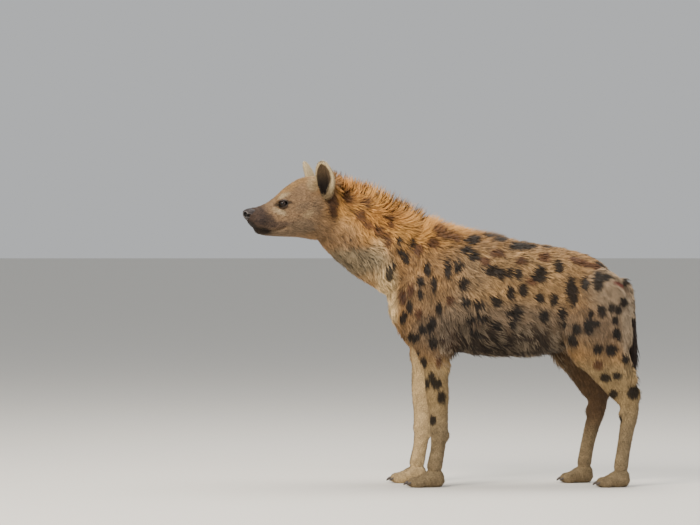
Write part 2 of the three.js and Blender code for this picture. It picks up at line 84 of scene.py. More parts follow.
# %% Helpers
def only(piece):
    bpy.ops.object.select_all(action="DESELECT")
    piece.select_set(True)
    bpy.context.view_layer.objects.active = piece


def apply_modifier(piece, kind, **settings):
    only(piece)
    bpy.ops.object.modifier_add(type=kind)
    modifier = piece.modifiers[-1]
    for name, value in settings.items():
        setattr(modifier, name, value)
    bpy.ops.object.modifier_apply(modifier=modifier.name)


def joined(name, pieces):
    only(pieces[0])
    for piece in pieces:
        piece.select_set(True)
    bpy.ops.object.join()
    bpy.context.object.name = name
    bpy.context.object.data.name = name
    return bpy.context.object


def new_sphere(name, segments, rings, radius=1):
    bpy.ops.object.select_all(action="DESELECT")
    bpy.ops.mesh.primitive_uv_sphere_add(segments=segments, ring_count=rings, radius=radius)
    bpy.context.object.name = name
    return bpy.context.object


def places_of(piece):
    places = np.empty(len(piece.data.vertices) * 3)
    piece.data.vertices.foreach_get("co", places)
    return places.reshape(-1, 3)


def set_places(piece, places):
    piece.data.vertices.foreach_set("co", np.asarray(places, np.float32).ravel())
    piece.data.update()


def normals_of(piece):
    normals = np.empty(len(piece.data.vertices) * 3)
    piece.data.vertices.foreach_get("normal", normals)
    return normals.reshape(-1, 3)


def remesh(piece, voxel, smoothing):
    """One even closed surface, with the steps of its voxels smoothed away."""
    apply_modifier(piece, "REMESH", mode="VOXEL", voxel_size=voxel)
    apply_modifier(piece, "SMOOTH", factor=0.5, iterations=smoothing)


def weigh(piece, name, weights):
    """Stores weights from 0 to 1 in a vertex group, in tenths."""
    group = piece.vertex_groups.new(name=name)
    for step in range(11):
        chosen = np.nonzero(np.round(weights * 10) == step)[0]
        group.add([int(index) for index in chosen], step / 10, "REPLACE")


def face_outwards(piece):
    only(piece)
    bpy.ops.object.mode_set(mode="EDIT")
    bpy.ops.mesh.select_all(action="SELECT")
    bpy.ops.mesh.normals_make_consistent(inside=False)
    bpy.ops.object.mode_set(mode="OBJECT")


def unit(vectors):
    return vectors / np.maximum(np.linalg.norm(vectors, axis=-1, keepdims=True), 1e-9)


def smoothstep(value, low, high):
    share = np.clip((value - low) / (high - low), 0, 1)
    return share * share * (3 - 2 * share)


def ripple(points, wavelength, seed):
    """A soft random field from -1 to 1: waves in six drawn directions."""
    draw = np.random.default_rng(seed)
    ways = unit(draw.normal(size=(6, 3))) * draw.uniform(0.7, 1.4, (6, 1))
    phases = draw.uniform(0, 2 * np.pi, 6)
    waves = np.sin(points @ ways.T * (2 * np.pi / wavelength) + phases)
    return waves.sum(axis=1) / 3.4


def ripples(points, wavelength, seeds):
    return np.stack([ripple(points, wavelength, seed) for seed in seeds], axis=1)


# %% [markdown]
# Body, legs and tail are round forms whose rings follow a curve, the same curves and the same
# sizes as in the solids. A UV sphere is the primitive: each of its rings is carried to its place
# along the curve. A station is the middle of a ring (x, y, z) and its reach to the side, to the
# top and to the bottom; on legs and tail these last two are front and back.

# %% Round forms along a curve
def curve_points(knots, shares):
    """Points of a centripetal Catmull-Rom curve through the knots."""
    knots = np.asarray(knots, float)
    last = len(knots) - 1
    place = np.clip(shares, 0, 1) * last
    first = np.minimum(place.astype(int), last - 1)
    part = (place - first)[:, None]
    padded = np.vstack([2 * knots[0] - knots[1], knots, 2 * knots[-1] - knots[-2]])
    a, b, c, d = (padded[first + step] for step in range(4))
    ab, bc, cd = (
        np.maximum(np.linalg.norm(q - p, axis=1, keepdims=True), 1e-6) ** 0.5
        for p, q in ((a, b), (b, c), (c, d))
    )
    leave = ((b - a) / ab - (c - a) / (ab + bc) + (c - b) / bc) * bc
    arrive = ((c - b) / bc - (d - b) / (bc + cd) + (d - c) / cd) * bc
    square = 3 * (c - b) - 2 * leave - arrive
    cube = 2 * (b - c) + leave + arrive
    return b + leave * part + square * part**2 + cube * part**3


def form_points(stations, shares, turns, square=1.0, egg=0.0, grow=0.0, plumb=False):
    """Points on a form. A turn of 0 is its left side, 0.25 its bottom and 0.75 its top. Rings lie
    square to the curve, or upright where plumb is set."""
    table = np.asarray(stations, float)
    middle = curve_points(table[:, :3], shares)
    reach = curve_points(table[:, 3:], shares)
    ahead = curve_points(table[:, :3], shares + 1e-4) - curve_points(table[:, :3], shares - 1e-4)
    ahead = np.array([[-1.0, 0, 0]]) if plumb else unit(ahead)
    side = unit(np.array([0.0, 1.0, 0.0]) - ahead * ahead[:, 1:2])
    top = np.cross(side, ahead)
    across = -np.cos(2 * np.pi * turns)
    rise = -np.sin(2 * np.pi * turns)
    high = np.where(rise > 0, reach[:, 1], reach[:, 2]) + grow
    wide = (reach[:, 0] + grow) * (1 - egg * rise)
    out = side * (wide * np.sign(across) * np.abs(across) ** square)[:, None]
    up = top * (high * np.sign(rise) * np.abs(rise) ** square)[:, None]
    inside = np.minimum(np.minimum(shares, 1 - shares) * 1e4, 1)[:, None]
    return middle + (out + up) * inside


def form_object(name, stations, around, rings, **shape):
    """A sphere whose rings are carried to their places on the form."""
    piece = new_sphere(name, around, rings)
    ball = places_of(piece)
    shares = np.arccos(np.clip(ball[:, 2], -1, 1)) / np.pi
    turns = np.arctan2(ball[:, 1], ball[:, 0]) / (2 * np.pi)
    set_places(piece, form_points(stations, shares, turns, **shape) * MM)
    return piece


def ball_object(name, centre, reach, segments=24, rings=16):
    """A ball drawn out to its reach along x, y and z."""
    piece = new_sphere(name, segments, rings)
    set_places(piece, (places_of(piece) * reach + centre) * MM)
    return piece


# %% [markdown]
# The sizes of the body. They repeat those of the solids, whose surface is the outside of the
# coat. The skin lies deeper by the depth of the coat: 12 mm on the trunk, 10 mm on the neck, 4 mm
# on the legs, 2.5 mm on the face and 1.5 mm on the paws. Nose, ears and claws have sizes of
# their own further on.

# %% Sizes of the body
TORSO = [
    (594, 0, 596, 0, 0, 0),
    (574, 0, 586, 56, 74, 78),
    (510, 0, 580, 104, 117, 112),
    (419, 0, 590, 122, 148, 150),
    (340, 0, 588, 126, 163, 172),
    (246, 0, 588, 136, 174, 181),
    (151, 0, 592, 144, 184, 182),
    (72, 0, 600, 143, 192, 183),
    (-6, 0, 610, 134, 198, 182),
    (-69, 0, 618, 122, 196, 178),
    (-126, 0, 622, 102, 156, 154),
    (-166, 0, 620, 68, 90, 96),
    (-184, 0, 616, 0, 0, 0),
]
NECK = [
    (-30, 0, 590, 0, 0, 0),
    (-85, 0, 627, 100, 150, 74),
    (-157, 0, 687, 98, 156, 80),
    (-231, 0, 747, 88, 140, 88),
    (-306, 0, 807, 80, 121, 89),
    (-368, 0, 858, 72, 96, 92),
    (-410, 0, 880, 0, 0, 0),
]
HEAD = [
    (-312, 0, 884, 0, 0, 0),
    (-340, 0, 877, 62, 72, 78),
    (-373, 0, 873, 78, 94, 94),
    (-407, 0, 874, 86, 99, 100),
    (-443, 0, 873, 86, 96, 95),
    (-474, 0, 867, 78, 88, 86),
    (-505, 0, 857, 62, 76, 75),
    (-534, 0, 845, 49, 62, 62),
    (-563, 0, 839, 43, 50, 53),
    (-590, 0, 839, 40, 40, 45),
    (-608, 0, 843, 34, 31, 32),
    (-619, 0, 847, 20, 17, 18),
    (-624, 0, 849, 0, 0, 0),
]
FORELEG = [
    (-44, 78, 705, 0, 0, 0),
    (-66, 94, 632, 38, 66, 78),
    (-72, 100, 560, 45, 86, 92),
    (-57, 101, 495, 45, 84, 88),
    (-35, 97, 438, 40, 60, 64),
    (-22, 92, 375, 34, 43, 44),
    (-17, 90, 299, 30, 41, 38),
    (-13, 88, 230, 27, 34, 34),
    (-11, 87, 173, 28, 31, 31),
    (-16, 87, 117, 26, 26, 27),
    (-25, 87, 63, 30, 28, 27),
    (-32, 87, 20, 0, 0, 0),
]
HINDLEG = [
    (500, 60, 690, 0, 0, 0),
    (486, 70, 632, 46, 80, 74),
    (484, 78, 556, 54, 108, 104),
    (487, 86, 488, 55, 115, 108),
    (496, 90, 435, 49, 100, 100),
    (515, 92, 394, 42, 78, 78),
    (535, 92, 353, 36, 62, 62),
    (558, 91, 312, 31, 50, 51),
    (580, 90, 274, 28, 38, 38),
    (585, 88, 234, 25, 32, 32),
    (577, 87, 180, 23, 28, 27),
    (567, 87, 120, 23, 26, 25),
    (558, 87, 63, 27, 26, 26),
    (551, 87, 20, 0, 0, 0),
]
TAIL = [
    (545, 0, 656, 0, 0, 0),
    (572, 0, 640, 18, 15, 16),
    (589, 0, 611, 17, 13, 14),
    (597, 0, 574, 15, 12, 12),
    (599, 0, 525, 13, 11, 11),
    (598, 0, 475, 11, 9, 9),
    (596, 0, 430, 9, 8, 8),
    (595, 0, 405, 0, 0, 0),
]
HEAD_TURN = math.radians(15)
HEAD_PIVOT_X = -350
FORE_STRIDE = -52
HIND_STRIDE = -104
STRIDE_TOP = 620
STRIDE_FOOT = 60
BODY_COAT = 12
NECK_COAT = 10
FACE_COAT = 2.5
LEG_COAT = 4
PAW_COAT = 1.5
TAIL_COAT = 3
FLANKS = (-1, 1)
SIDES = (("left", -1), ("right", 1))


def stride_at(z, stride):
    """How far forward a right leg has stepped at height z."""
    return stride * math.sqrt(float(smoothstep(STRIDE_TOP - z, 0, STRIDE_TOP - STRIDE_FOOT)))


def stations_of(leg, flank):
    """The rings of one leg: a right one has stepped forward."""
    stride = leg["stride"] if flank > 0 else 0
    stations = leg["stations"]
    return [(x + stride_at(z, stride), y * flank, z, *reach) for x, y, z, *reach in stations]


def middle_line(stations):
    return [station[:3] for station in stations]


def turned_about_neck(points, angle):
    cosine, sine = math.cos(angle), math.sin(angle)
    x = points[:, 0] - HEAD_PIVOT_X * MM
    y = points[:, 1]
    moved = [x * cosine - y * sine + HEAD_PIVOT_X * MM, x * sine + y * cosine, points[:, 2]]
    return np.stack(moved, axis=1)


def turned_head(points):
    """Points of the head, carried from looking straight ahead to its turn to the left."""
    return turned_about_neck(points, HEAD_TURN)


def straight_head(points):
    """The way back: where a point of the turned head lies when it looks straight ahead."""
    return turned_about_neck(points, -HEAD_TURN)


def in_side_view(places):
    """Places in the animal's middle plane, given by x and z alone."""
    return [(x, 0, z) for x, z in places]


# %% [markdown]
# The skin starts as separate closed forms that sink into one another: trunk, neck, skull, brows,
# lip pads, legs, paws and tail. Joined and voxel remeshed they become one surface with no seam,
# and a smoothing melts the joints as muscle and hide do.

# %% Forms of the head
HEAD_SHAPE = {"square": 0.86, "egg": 0.14, "plumb": True}
FACE_MASSES = [
    ((-507, 36, 893), (30, 14, 12)),
    ((-574, 25, 832), (38, 17, 23)),
    ((-496, 44, 866), (30, 14, 14)),
    ((-425, 58, 850), (48, 24, 50)),
    ((-602, 8, 851), (18, 20, 24)),
    ((-585, 12, 817), (21, 16, 15)),
]


def head_forms():
    pieces = [form_object("skull", HEAD, 72, 120, grow=-FACE_COAT, **HEAD_SHAPE)]
    for (x, y, z), reach in FACE_MASSES:
        for flank in FLANKS:
            pieces.append(ball_object("face_mass", (x, y * flank, z), reach))
    for piece in pieces:
        set_places(piece, turned_head(places_of(piece)))
    return pieces


# %% Forms of the legs and paws
TOES = [(-52, -29), (-61, -10.5), (-61, 10.5), (-52, 29)]
TOE_REACH = (24, 11.2, 17)
SOLE_SINK = 2.5
# Bones and tendons that show under the hide: the wrist, its rear pad and the elbow
WRIST_KNOBS = [
    ((10, 88, 162), (13, 12, 20)), ((-31, 88, 176), (10, 19, 20)), ((8, 92, 290), (12, 13, 60)),
    ((24, 98, 446), (16, 18, 30)), ((-12, 106, 385), (34, 19, 75)),
]
# The point of the hock with its tendon, and the inner ankle
HOCK_KNOBS = [
    ((611, 90, 290), (10, 11, 24)), ((598, 91, 335), (10, 9, 50)), ((566, 92, 228), (16, 21, 24)),
]
LEGS = [
    {"kind": "fore", "stations": FORELEG, "stride": FORE_STRIDE, "size": 1.0, "knobs": WRIST_KNOBS},
    {"kind": "hind", "stations": HINDLEG, "stride": HIND_STRIDE, "size": 0.9, "knobs": HOCK_KNOBS},
]


def ankle_of(leg, flank):
    return stations_of(leg, flank)[-2][:2]


def paw_forms(x, y, size):
    palm = [
        (x + 33 * size, y, 20, 0, 0, 0),
        (x + 24 * size, y, 22, 22 * size, 19, 21),
        (x + 4 * size, y, 28, 31 * size, 34, 30),
        (x - 20 * size, y, 27, 36 * size, 27, 29),
        (x - 44 * size, y, 21, 33 * size, 18, 22),
        (x - 60 * size, y, 18, 0, 0, 0),
    ]
    palm = [(px, py, pz - SOLE_SINK, *reach) for px, py, pz, *reach in palm]
    pieces = [form_object("palm", palm, 32, 30, square=0.9, grow=-PAW_COAT)]
    for ahead, aside in TOES:
        centre = (x + ahead * size, y + aside * size, 17 - SOLE_SINK)
        reach = (TOE_REACH[0] * size, TOE_REACH[1] * size - 0.6, TOE_REACH[2])
        pieces.append(ball_object("toe", centre, reach))
        knuckle = (x + (ahead + 16) * size, y + aside * size, 24)
        pieces.append(ball_object("knuckle", knuckle, (15 * size, 8.5 * size, 13)))
    return pieces


def leg_forms():
    pieces = []
    for leg in LEGS:
        for flank in FLANKS:
            stations = stations_of(leg, flank)
            pieces.append(form_object("leg", stations, 36, 72, square=0.95, grow=-LEG_COAT))
            pieces += paw_forms(*ankle_of(leg, flank), leg["size"])
            stride = leg["stride"] if flank > 0 else 0
            for (x, y, z), reach in leg["knobs"]:
                centre = (x + stride_at(z, stride), y * flank, z)
                pieces.append(ball_object("knob", centre, reach))
    return pieces


# %% Join the forms into one skin
SKIN_VOXEL = 0.003
SKIN_SMOOTHING = 5
JOINT_MELTING = 70
LEG_MELTING = 28
SKIN_TRIANGLES = 170000

torso_skin = form_object("torso_skin", TORSO, 96, 150, square=0.92, egg=0.06, grow=-BODY_COAT)
neck_skin = form_object("neck_skin", NECK, 72, 80, egg=0.2, grow=-NECK_COAT)
tail_skin = form_object("tail_skin", TAIL, 24, 60, grow=-TAIL_COAT)
skin = joined("skin", [torso_skin, neck_skin, tail_skin] + head_forms() + leg_forms())
remesh(skin, SKIN_VOXEL, SKIN_SMOOTHING)


def melt(weights_of, iterations):
    """Smooths the skin where the weights of its x and z are high."""
    places = places_of(skin)
    weigh(skin, "melt", weights_of(places[:, 0], places[:, 2]))
    apply_modifier(skin, "SMOOTH", factor=0.5, iterations=iterations, vertex_group="melt")
    skin.vertex_groups.clear()


def behind_head_above_knees(x, z):
    return smoothstep(z, 0.26, 0.42) * smoothstep(x, -0.40, -0.30)


def along_legs(x, z):
    return smoothstep(z, 0.055, 0.10) * smoothstep(-z, -0.62, -0.45)


melt(behind_head_above_knees, JOINT_MELTING)
melt(along_legs, LEG_MELTING)

# %% [markdown]
# A few places are moved to the outline that the photograph shows: the breast falls back towards
# the forelegs, and the loin and the throat fill out.

# %% Fill out the skin
BREAST_DRAW = 22 * MM
LOIN_LIFT = 8 * MM
THROAT_FILL = 9 * MM
THROAT_WAY = np.array([-0.55, 0, -0.83])


def stretch(value, first, full, fading, last):
    """0 up to first, 1 between full and fading, and 0 again from last on."""
    return smoothstep(value, first, full) * (1 - smoothstep(value, fading, last))


def filled_out(places, normals):
    """The breast's front moved back above the forelegs, the loin raised, the throat lowered."""
    under = smoothstep(-normals[:, 2], 0.1, 0.7) * smoothstep(places[:, 2], 0.58, 0.66)
    throat = under * stretch(places[:, 0], -0.4, -0.33, -0.2, -0.14)
    places += THROAT_WAY * (THROAT_FILL * throat)[:, None]
    breast = stretch(places[:, 2], 0.39, 0.45, 0.46, 0.56) * smoothstep(-places[:, 0], 0.04, 0.13)
    loin = stretch(places[:, 0], 0.02, 0.2, 0.3, 0.46) * smoothstep(places[:, 2], 0.67, 0.74)
    places[:, 0] += BREAST_DRAW * breast
    places[:, 2] += LOIN_LIFT * loin
    return places


set_places(skin, filled_out(places_of(skin), normals_of(skin)))
print("skin after remesh:", len(skin.data.polygons), "faces")

# %% [markdown]
# The face is then worked as clay is: the line of the mouth is pressed in, the lips are left full
# beside it, and the hollow of each eye is pushed back so that the ball sits as deep as a real one.

# %% Work the face
MOUTH_LINE = [
    (-640, 837),
    (-618, 826),
    (-604, 812),
    (-586, 803),
    (-560, 801),
    (-535, 804),
    (-512, 812),
]
MOUTH_DEPTH = 5.5
MOUTH_WIDTH = 3.4
LIP_SWELL = 1.2
LIP_OFFSET = 8 * MM
LIP_WIDTH = 5 * MM
FACE_END = -0.49
SOLE_HEIGHT = 0.4 * MM
EYE_RADIUS = 12
EYE_CENTRE = (-516, -45, 886)
EYE_LOOKS = unit(np.array([-0.58, -0.8, 0.12]))


def on_flank(place, flank):
    """A place or way given for the left flank, as it is on a flank: -1 left, 1 right."""
    return np.asarray(place) * np.array([1, -flank, 1])


def mouth_distance(straight):
    """How far points of the straight head lie from the mouth's line, seen from the side."""
    line = curve_points(in_side_view(MOUTH_LINE), np.linspace(0, 1, 120))
    samples = line[:, (0, 2)] * MM
    gaps = straight[:, None, (0, 2)] - samples[None]
    return np.linalg.norm(gaps, axis=2).min(axis=1)


def work_face(places, normals):
    """Presses in the mouth's line, swells the lips beside it and opens the sockets of the eyes."""
    straight = straight_head(places)
    face = straight[:, 0] < FACE_END
    distance = np.full(len(places), 1.0)
    distance[face] = mouth_distance(straight[face])
    groove = np.exp(-((distance / (MOUTH_WIDTH * MM)) ** 2))
    groove *= 0.25 + 0.75 * smoothstep(straight[:, 0], -0.622, -0.596)
    lips = np.exp(-(((distance - LIP_OFFSET) / LIP_WIDTH) ** 2))
    moved = places - normals * ((MOUTH_DEPTH * groove - LIP_SWELL * lips) * MM * face)[:, None]
    pivot = np.array([HEAD_PIVOT_X * MM, 0, 0])
    for flank in FLANKS:
        looks = on_flank(EYE_LOOKS, flank)
        offset = straight - on_flank(EYE_CENTRE, flank) * MM
        depth = offset @ looks
        radial = np.linalg.norm(offset - depth[:, None] * looks, axis=1)
        hollow = smoothstep(-radial, -21 * MM, -9 * MM) * (depth > -5 * MM)
        looks_turned = turned_head((looks + pivot)[None])[0] - pivot
        moved -= looks_turned * (hollow * np.maximum(depth + 3 * MM, 0))[:, None]
    return moved


TOE_GAPS = (-19.8, 0, 19.8)
TOE_GAP_DEPTH = 4.5
TOE_GAP_WIDTH = 2.6
TOE_SPREAD = 0.004


def part_toes(places, normals):
    """Presses the grooves between the toes of every paw."""
    depth = np.zeros(len(places))
    for leg in LEGS:
        size = leg["size"]
        for flank in FLANKS:
            x, y = ankle_of(leg, flank)
            ahead = (places[:, 0] / MM - x) / size
            aside = (places[:, 1] / MM - y) / size
            fore = smoothstep(-ahead, 26, 46) * smoothstep(-places[:, 2], -0.052, -0.040)
            near = (np.abs(aside) < 45) & (ahead > -110)
            for gap in TOE_GAPS:
                line = gap * (1 + TOE_SPREAD * (-ahead - 50))
                groove = np.exp(-(((aside - line) / TOE_GAP_WIDTH) ** 2)) * fore * near
                depth = np.maximum(depth, TOE_GAP_DEPTH * groove)
    return places - normals * (depth * MM)[:, None]


set_places(skin, part_toes(places_of(skin), normals_of(skin)))
worked = work_face(places_of(skin), normals_of(skin))
worked[:, 2] = np.maximum(worked[:, 2], SOLE_HEIGHT)
set_places(skin, worked)

# %% [markdown]
# Three millimetres between points is right for the face and wasteful on the flanks. A vertex
# group that is strong away from the head and paws lets Decimate thin the mesh only there.

# %% Thin the skin away from the face
def thin_skin(piece, triangles):
    places = places_of(piece)
    face = smoothstep(-places[:, 0], 0.36, 0.42) * (places[:, 2] > 0.7)
    paws = smoothstep(-places[:, 2], -0.09, -0.06)
    weigh(piece, "thin", 1 - np.maximum(face, paws))
    ratio = triangles / (2 * len(piece.data.polygons))
    apply_modifier(piece, "DECIMATE", ratio=min(ratio, 1), vertex_group="thin")
    piece.vertex_groups.clear()


thin_skin(skin, SKIN_TRIANGLES)
skin.data.shade_smooth()
print("skin:", len(skin.data.polygons), "faces")

# %% [markdown]
# Every piece stores its colour in its vertices, where its material finds it. Colours are written
# as sRGB hex codes and laid over one another as linear light.

# %% Colours
def tone(code):
    """An sRGB hex colour as linear red, green and blue."""
    channels = [int(code[place : place + 2], 16) / 255 for place in (1, 3, 5)]
    return np.array([c / 12.92 if c <= 0.04045 else ((c + 0.055) / 1.055) ** 2.4 for c in channels])


def paint(piece, colours):
    """Stores a linear colour for each vertex, or the same one for all."""
    rgba = np.ones((len(piece.data.vertices), 4), np.float32)
    rgba[:, :3] = np.clip(colours, 0, 1)
    layer = piece.data.attributes.new("tint", "FLOAT_COLOR", "POINT")
    layer.data.foreach_set("color", rgba.ravel())


def mixed(under, over, share):
    share = np.asarray(share)[:, None]
    return under * (1 - share) + over * share


def layered(colours, layers):
    """Tones laid over one another, each with its share at every place."""
    for over, share in layers:
        colours = mixed(colours, over, share)
    return colours


# %% [markdown]
# A hyena's eye is a dark brown ball of about 24 mm with a round pupil and black lid margins. The
# ball is a sphere whose pole looks out, so its pupil and iris can be painted by the angle from
# the pole, and the cornea swells a little. The lids are a torus drawn out to an almond.

# %% Eyes and lids
PUPIL = tone("#040303")
IRIS_DARK = tone("#170d07")
IRIS_LIGHT = tone("#2e1c0e")
BARE_LID = tone("#0a0706")
LID_HAIR = tone("#43352a")
CORNEA_SWELL = 0.7
PUPIL_ANGLE = math.radians(19)
IRIS_ANGLE = math.radians(54)
LID_HALF_WIDTH = 11.6
LID_HALF_HEIGHT = 7.4
LID_BREADTH = 7.5
LID_THICKNESS = 1.5
LID_SLOPE = 7.5
LID_GAP = 0.5
CORNER_LENGTH = 2.2
CORNER_SHARPNESS = 12
TORUS_RADIUS = 3


def eye_frame(flank):
    """Turns an eye's own places, with z looking out and x running back, to the straight head."""
    out = Vector(on_flank(EYE_LOOKS, flank))
    back = Vector((1, 0, 0.12))
    back = (back - out * back.dot(out)).normalized()
    across = out.cross(back)
    turn = Matrix((back, across, out)).transposed().to_4x4()
    turn.translation = Vector(on_flank(EYE_CENTRE, flank))
    return np.array(turn)


def set_in_head(piece, flank):
    """Carries a piece from the eye's own frame, in mm, to its place in the turned head."""
    turn = eye_frame(flank)
    places = places_of(piece) @ turn[:3, :3].T + turn[:3, 3]
    set_places(piece, turned_head(places * MM))
    face_outwards(piece)
    piece.data.shade_smooth()
    return piece


def eyeball(name, flank):
    piece = new_sphere(name, 64, 48, EYE_RADIUS)
    places = places_of(piece)
    angles = np.arccos(np.clip(places[:, 2] / EYE_RADIUS, -1, 1))
    swell = CORNEA_SWELL * (1 - smoothstep(angles, 0.2, 0.9))
    set_places(piece, places * (1 + swell / EYE_RADIUS)[:, None])
    fibres = 0.5 + 0.5 * np.sin(np.arctan2(places[:, 1], places[:, 0]) * 41)
    past_iris = smoothstep(angles, IRIS_ANGLE - 0.08, IRIS_ANGLE + 0.05)
    past_pupil = smoothstep(angles, PUPIL_ANGLE - 0.05, PUPIL_ANGLE + 0.05)
    iris = layered(IRIS_DARK, [(IRIS_LIGHT, fibres * 0.7), (BARE_LID, past_iris)])
    paint(piece, mixed(PUPIL, iris, past_pupil))
    return set_in_head(piece, flank)


def eyelids(name, flank):
    """Both lids as one ring, drawn out to an almond and bent down round the ball."""
    bpy.ops.object.select_all(action="DESELECT")
    bpy.ops.mesh.primitive_torus_add(
        major_segments=72, minor_segments=18, major_radius=TORUS_RADIUS, minor_radius=1
    )
    piece = bpy.context.object
    piece.name = name
    ring = places_of(piece)
    round_eye = np.arctan2(ring[:, 1], ring[:, 0])
    breadth = np.hypot(ring[:, 0], ring[:, 1]) - TORUS_RADIUS
    share = np.clip((breadth + 1) / 2, 0, 1)
    corner = np.abs(np.cos(round_eye))
    inner = np.hypot(LID_HALF_WIDTH * np.cos(round_eye), LID_HALF_HEIGHT * np.sin(round_eye))
    inner += CORNER_LENGTH * corner**CORNER_SHARPNESS
    seat = np.sqrt(np.maximum((EYE_RADIUS + LID_GAP) ** 2 - inner**2, 1.0))
    radius = inner + LID_BREADTH * share
    height = seat - LID_SLOPE * share**1.6 + LID_THICKNESS * ring[:, 2]
    lid = [radius * np.cos(round_eye), radius * np.sin(round_eye), height]
    set_places(piece, np.stack(lid, axis=1))
    bare = 1 - smoothstep(share, 0.3, 0.6)
    paint(piece, mixed(LID_HAIR, BARE_LID, bare))
    return set_in_head(piece, flank)


eyes = {}
lids = {}
for side, flank in SIDES:
    eyes[side] = eyeball(f"eyeball_{side}", flank)
    lids[side] = eyelids(f"eyelids_{side}", flank)

# %% [markdown]
# The nose pad is bare, blunt leather. Two balls on each side are cut from it with a Boolean to
# open the comma-shaped nostrils, and a fine remesh rounds their rims.

# %% Nose pad
NOSE = [
    (-586, 0, 857, 0, 0, 0),
    (-594, 0, 857, 24, 16, 14),
    (-607, 0, 857, 26, 16.5, 17),
    (-619, 0, 855, 24, 16, 19),
    (-629, 0, 852, 19, 13, 17),
    (-635, 0, 850, 0, 0, 0),
]
NOSTRIL_BALLS = [((-631, 13, 854), (12, 8, 7.5)), ((-621, 23, 850), (14, 7, 4.4))]
NOSE_VOXEL = 0.0009
NOSE_SMOOTHING = 4
# Painted shade inside the nostrils
NOSTRIL_SHADE = tone("#070505")
NOSTRIL_RIM = tone("#575150")
NOSE_LEATHER = tone("#2c2626")


def cut_away(piece, cutter):
    apply_modifier(piece, "BOOLEAN", operation="DIFFERENCE", solver="EXACT", object=cutter)
    bpy.data.objects.remove(cutter)


nostrils = [
    ((x, y * flank, z), reach) for (x, y, z), reach in NOSTRIL_BALLS for flank in FLANKS
]
nose_pad = form_object("nose_pad", NOSE, 48, 36, square=0.8)
for centre, reach in nostrils:
    cut_away(nose_pad, ball_object("nostril", centre, reach))
set_places(nose_pad, turned_head(places_of(nose_pad)))
remesh(nose_pad, NOSE_VOXEL, NOSE_SMOOTHING)
nose_pad.data.shade_smooth()
inside = np.full(len(nose_pad.data.vertices), 9.0)
nose_places = straight_head(places_of(nose_pad)) / MM
for centre, reach in nostrils:
    offset = (nose_places - centre) / np.array(reach)
    inside = np.minimum(inside, np.linalg.norm(offset, axis=1))
past_rim = smoothstep(inside, 1.25, 1.6)
# Near black inside each nostril as painted shade
nose_layers = [(NOSTRIL_RIM, smoothstep(inside, 1.0, 1.15)), (NOSE_LEATHER, past_rim)]
paint(nose_pad, layered(NOSTRIL_SHADE, nose_layers))

# %% [markdown]
# An ear is a tall rounded cup with a thin rim. Its outside is one form, and a second form cut out
# of it leaves the shell. It is made upright at the origin, then leaned, splayed and turned.

# %% Ears
EAR_HEIGHT = 120
EAR_HALF_WIDTH = 41
EAR_RIM = 4.5
EAR_ROOT = Vector((-384, 64, 906))
EAR_SPLAY = math.radians(17)
EAR_LEAN = {-1: math.radians(-9), 1: math.radians(-14)}
EAR_OPENS = math.radians(55)
EAR_COAT = 1.5
EAR_VOXEL = 0.0015
EAR_SMOOTHING = 5
EAR_ROOT_TAN = tone("#7d6a4e")
EAR_BACK_PALE = tone("#b5a27e")
# Painted shadow deep in the ear's cup
EAR_CUP_SHADOW = tone("#17100b")
EAR_CUP_BROWN = tone("#5b4a36")
WIDE = EAR_HALF_WIDTH
EAR_SHELL = [
    (0, 0, -14, 0, 0, 0),
    (0, 0, 2, 19, 22, 20),
    (0, -3, EAR_HEIGHT * 0.26, 15, WIDE * 0.86, WIDE * 0.8),
    (0, -5, EAR_HEIGHT * 0.52, 12, WIDE * 0.98, WIDE),
    (0, -5, EAR_HEIGHT * 0.77, 9, WIDE * 0.76, WIDE * 0.86),
    (0, -3, EAR_HEIGHT * 0.93, 6, WIDE * 0.42, WIDE * 0.5),
    (0, -1, EAR_HEIGHT, 0, 0, 0),
]
MOUTH = EAR_HALF_WIDTH - EAR_RIM
EAR_HOLLOW = [
    (5, 14, 2, 0, 0, 0),
    (5, 14, EAR_HEIGHT * 0.11, 14, MOUTH * 0.24, MOUTH * 0.12),
    (2, 14, EAR_HEIGHT * 0.32, 21, MOUTH * 0.46, MOUTH * 0.42),
    (0, 14, EAR_HEIGHT * 0.56, 23, MOUTH * 0.56, MOUTH * 0.76),
    (0, 14, EAR_HEIGHT * 0.77, 20, MOUTH * 0.44, MOUTH * 0.74),
    (0, 14, EAR_HEIGHT * 0.9, 17, MOUTH * 0.2, MOUTH * 0.38),
    (0, 14, EAR_HEIGHT * 0.955, 0, 0, 0),
]


def ear_place(flank):
    """Where the upright ear stands on the straight head, for the right one before mirroring."""
    return np.array(
        Matrix.Translation(EAR_ROOT)
        @ Matrix.Rotation(-EAR_SPLAY, 4, "X")
        @ Matrix.Rotation(EAR_LEAN[flank], 4, "Y")
        @ Matrix.Rotation(EAR_OPENS, 4, "Z")
    )


def ear_to_head(points, flank):
    """Points of the upright ear, in mm, in metres at their place on the turned head."""
    place = ear_place(flank)
    moved = (points @ place[:3, :3].T + place[:3, 3]) * np.array([1, flank, 1])
    return turned_head(moved * MM)


def head_to_ear(points, flank):
    """The way back, to the upright ear in mm."""
    place = np.linalg.inv(ear_place(flank))
    straight = straight_head(points) / MM * np.array([1, flank, 1])
    return straight @ place[:3, :3].T + place[:3, 3]


def ear_object(name, flank):
    shell = form_object(name, EAR_SHELL, 64, 60, grow=-EAR_COAT)
    hollow = form_object("ear_hollow", EAR_HOLLOW, 48, 48)
    cut_away(shell, hollow)
    set_places(shell, ear_to_head(places_of(shell) / MM, flank))
    face_outwards(shell)
    remesh(shell, EAR_VOXEL, EAR_SMOOTHING)
    shell.data.shade_smooth()
    return shell


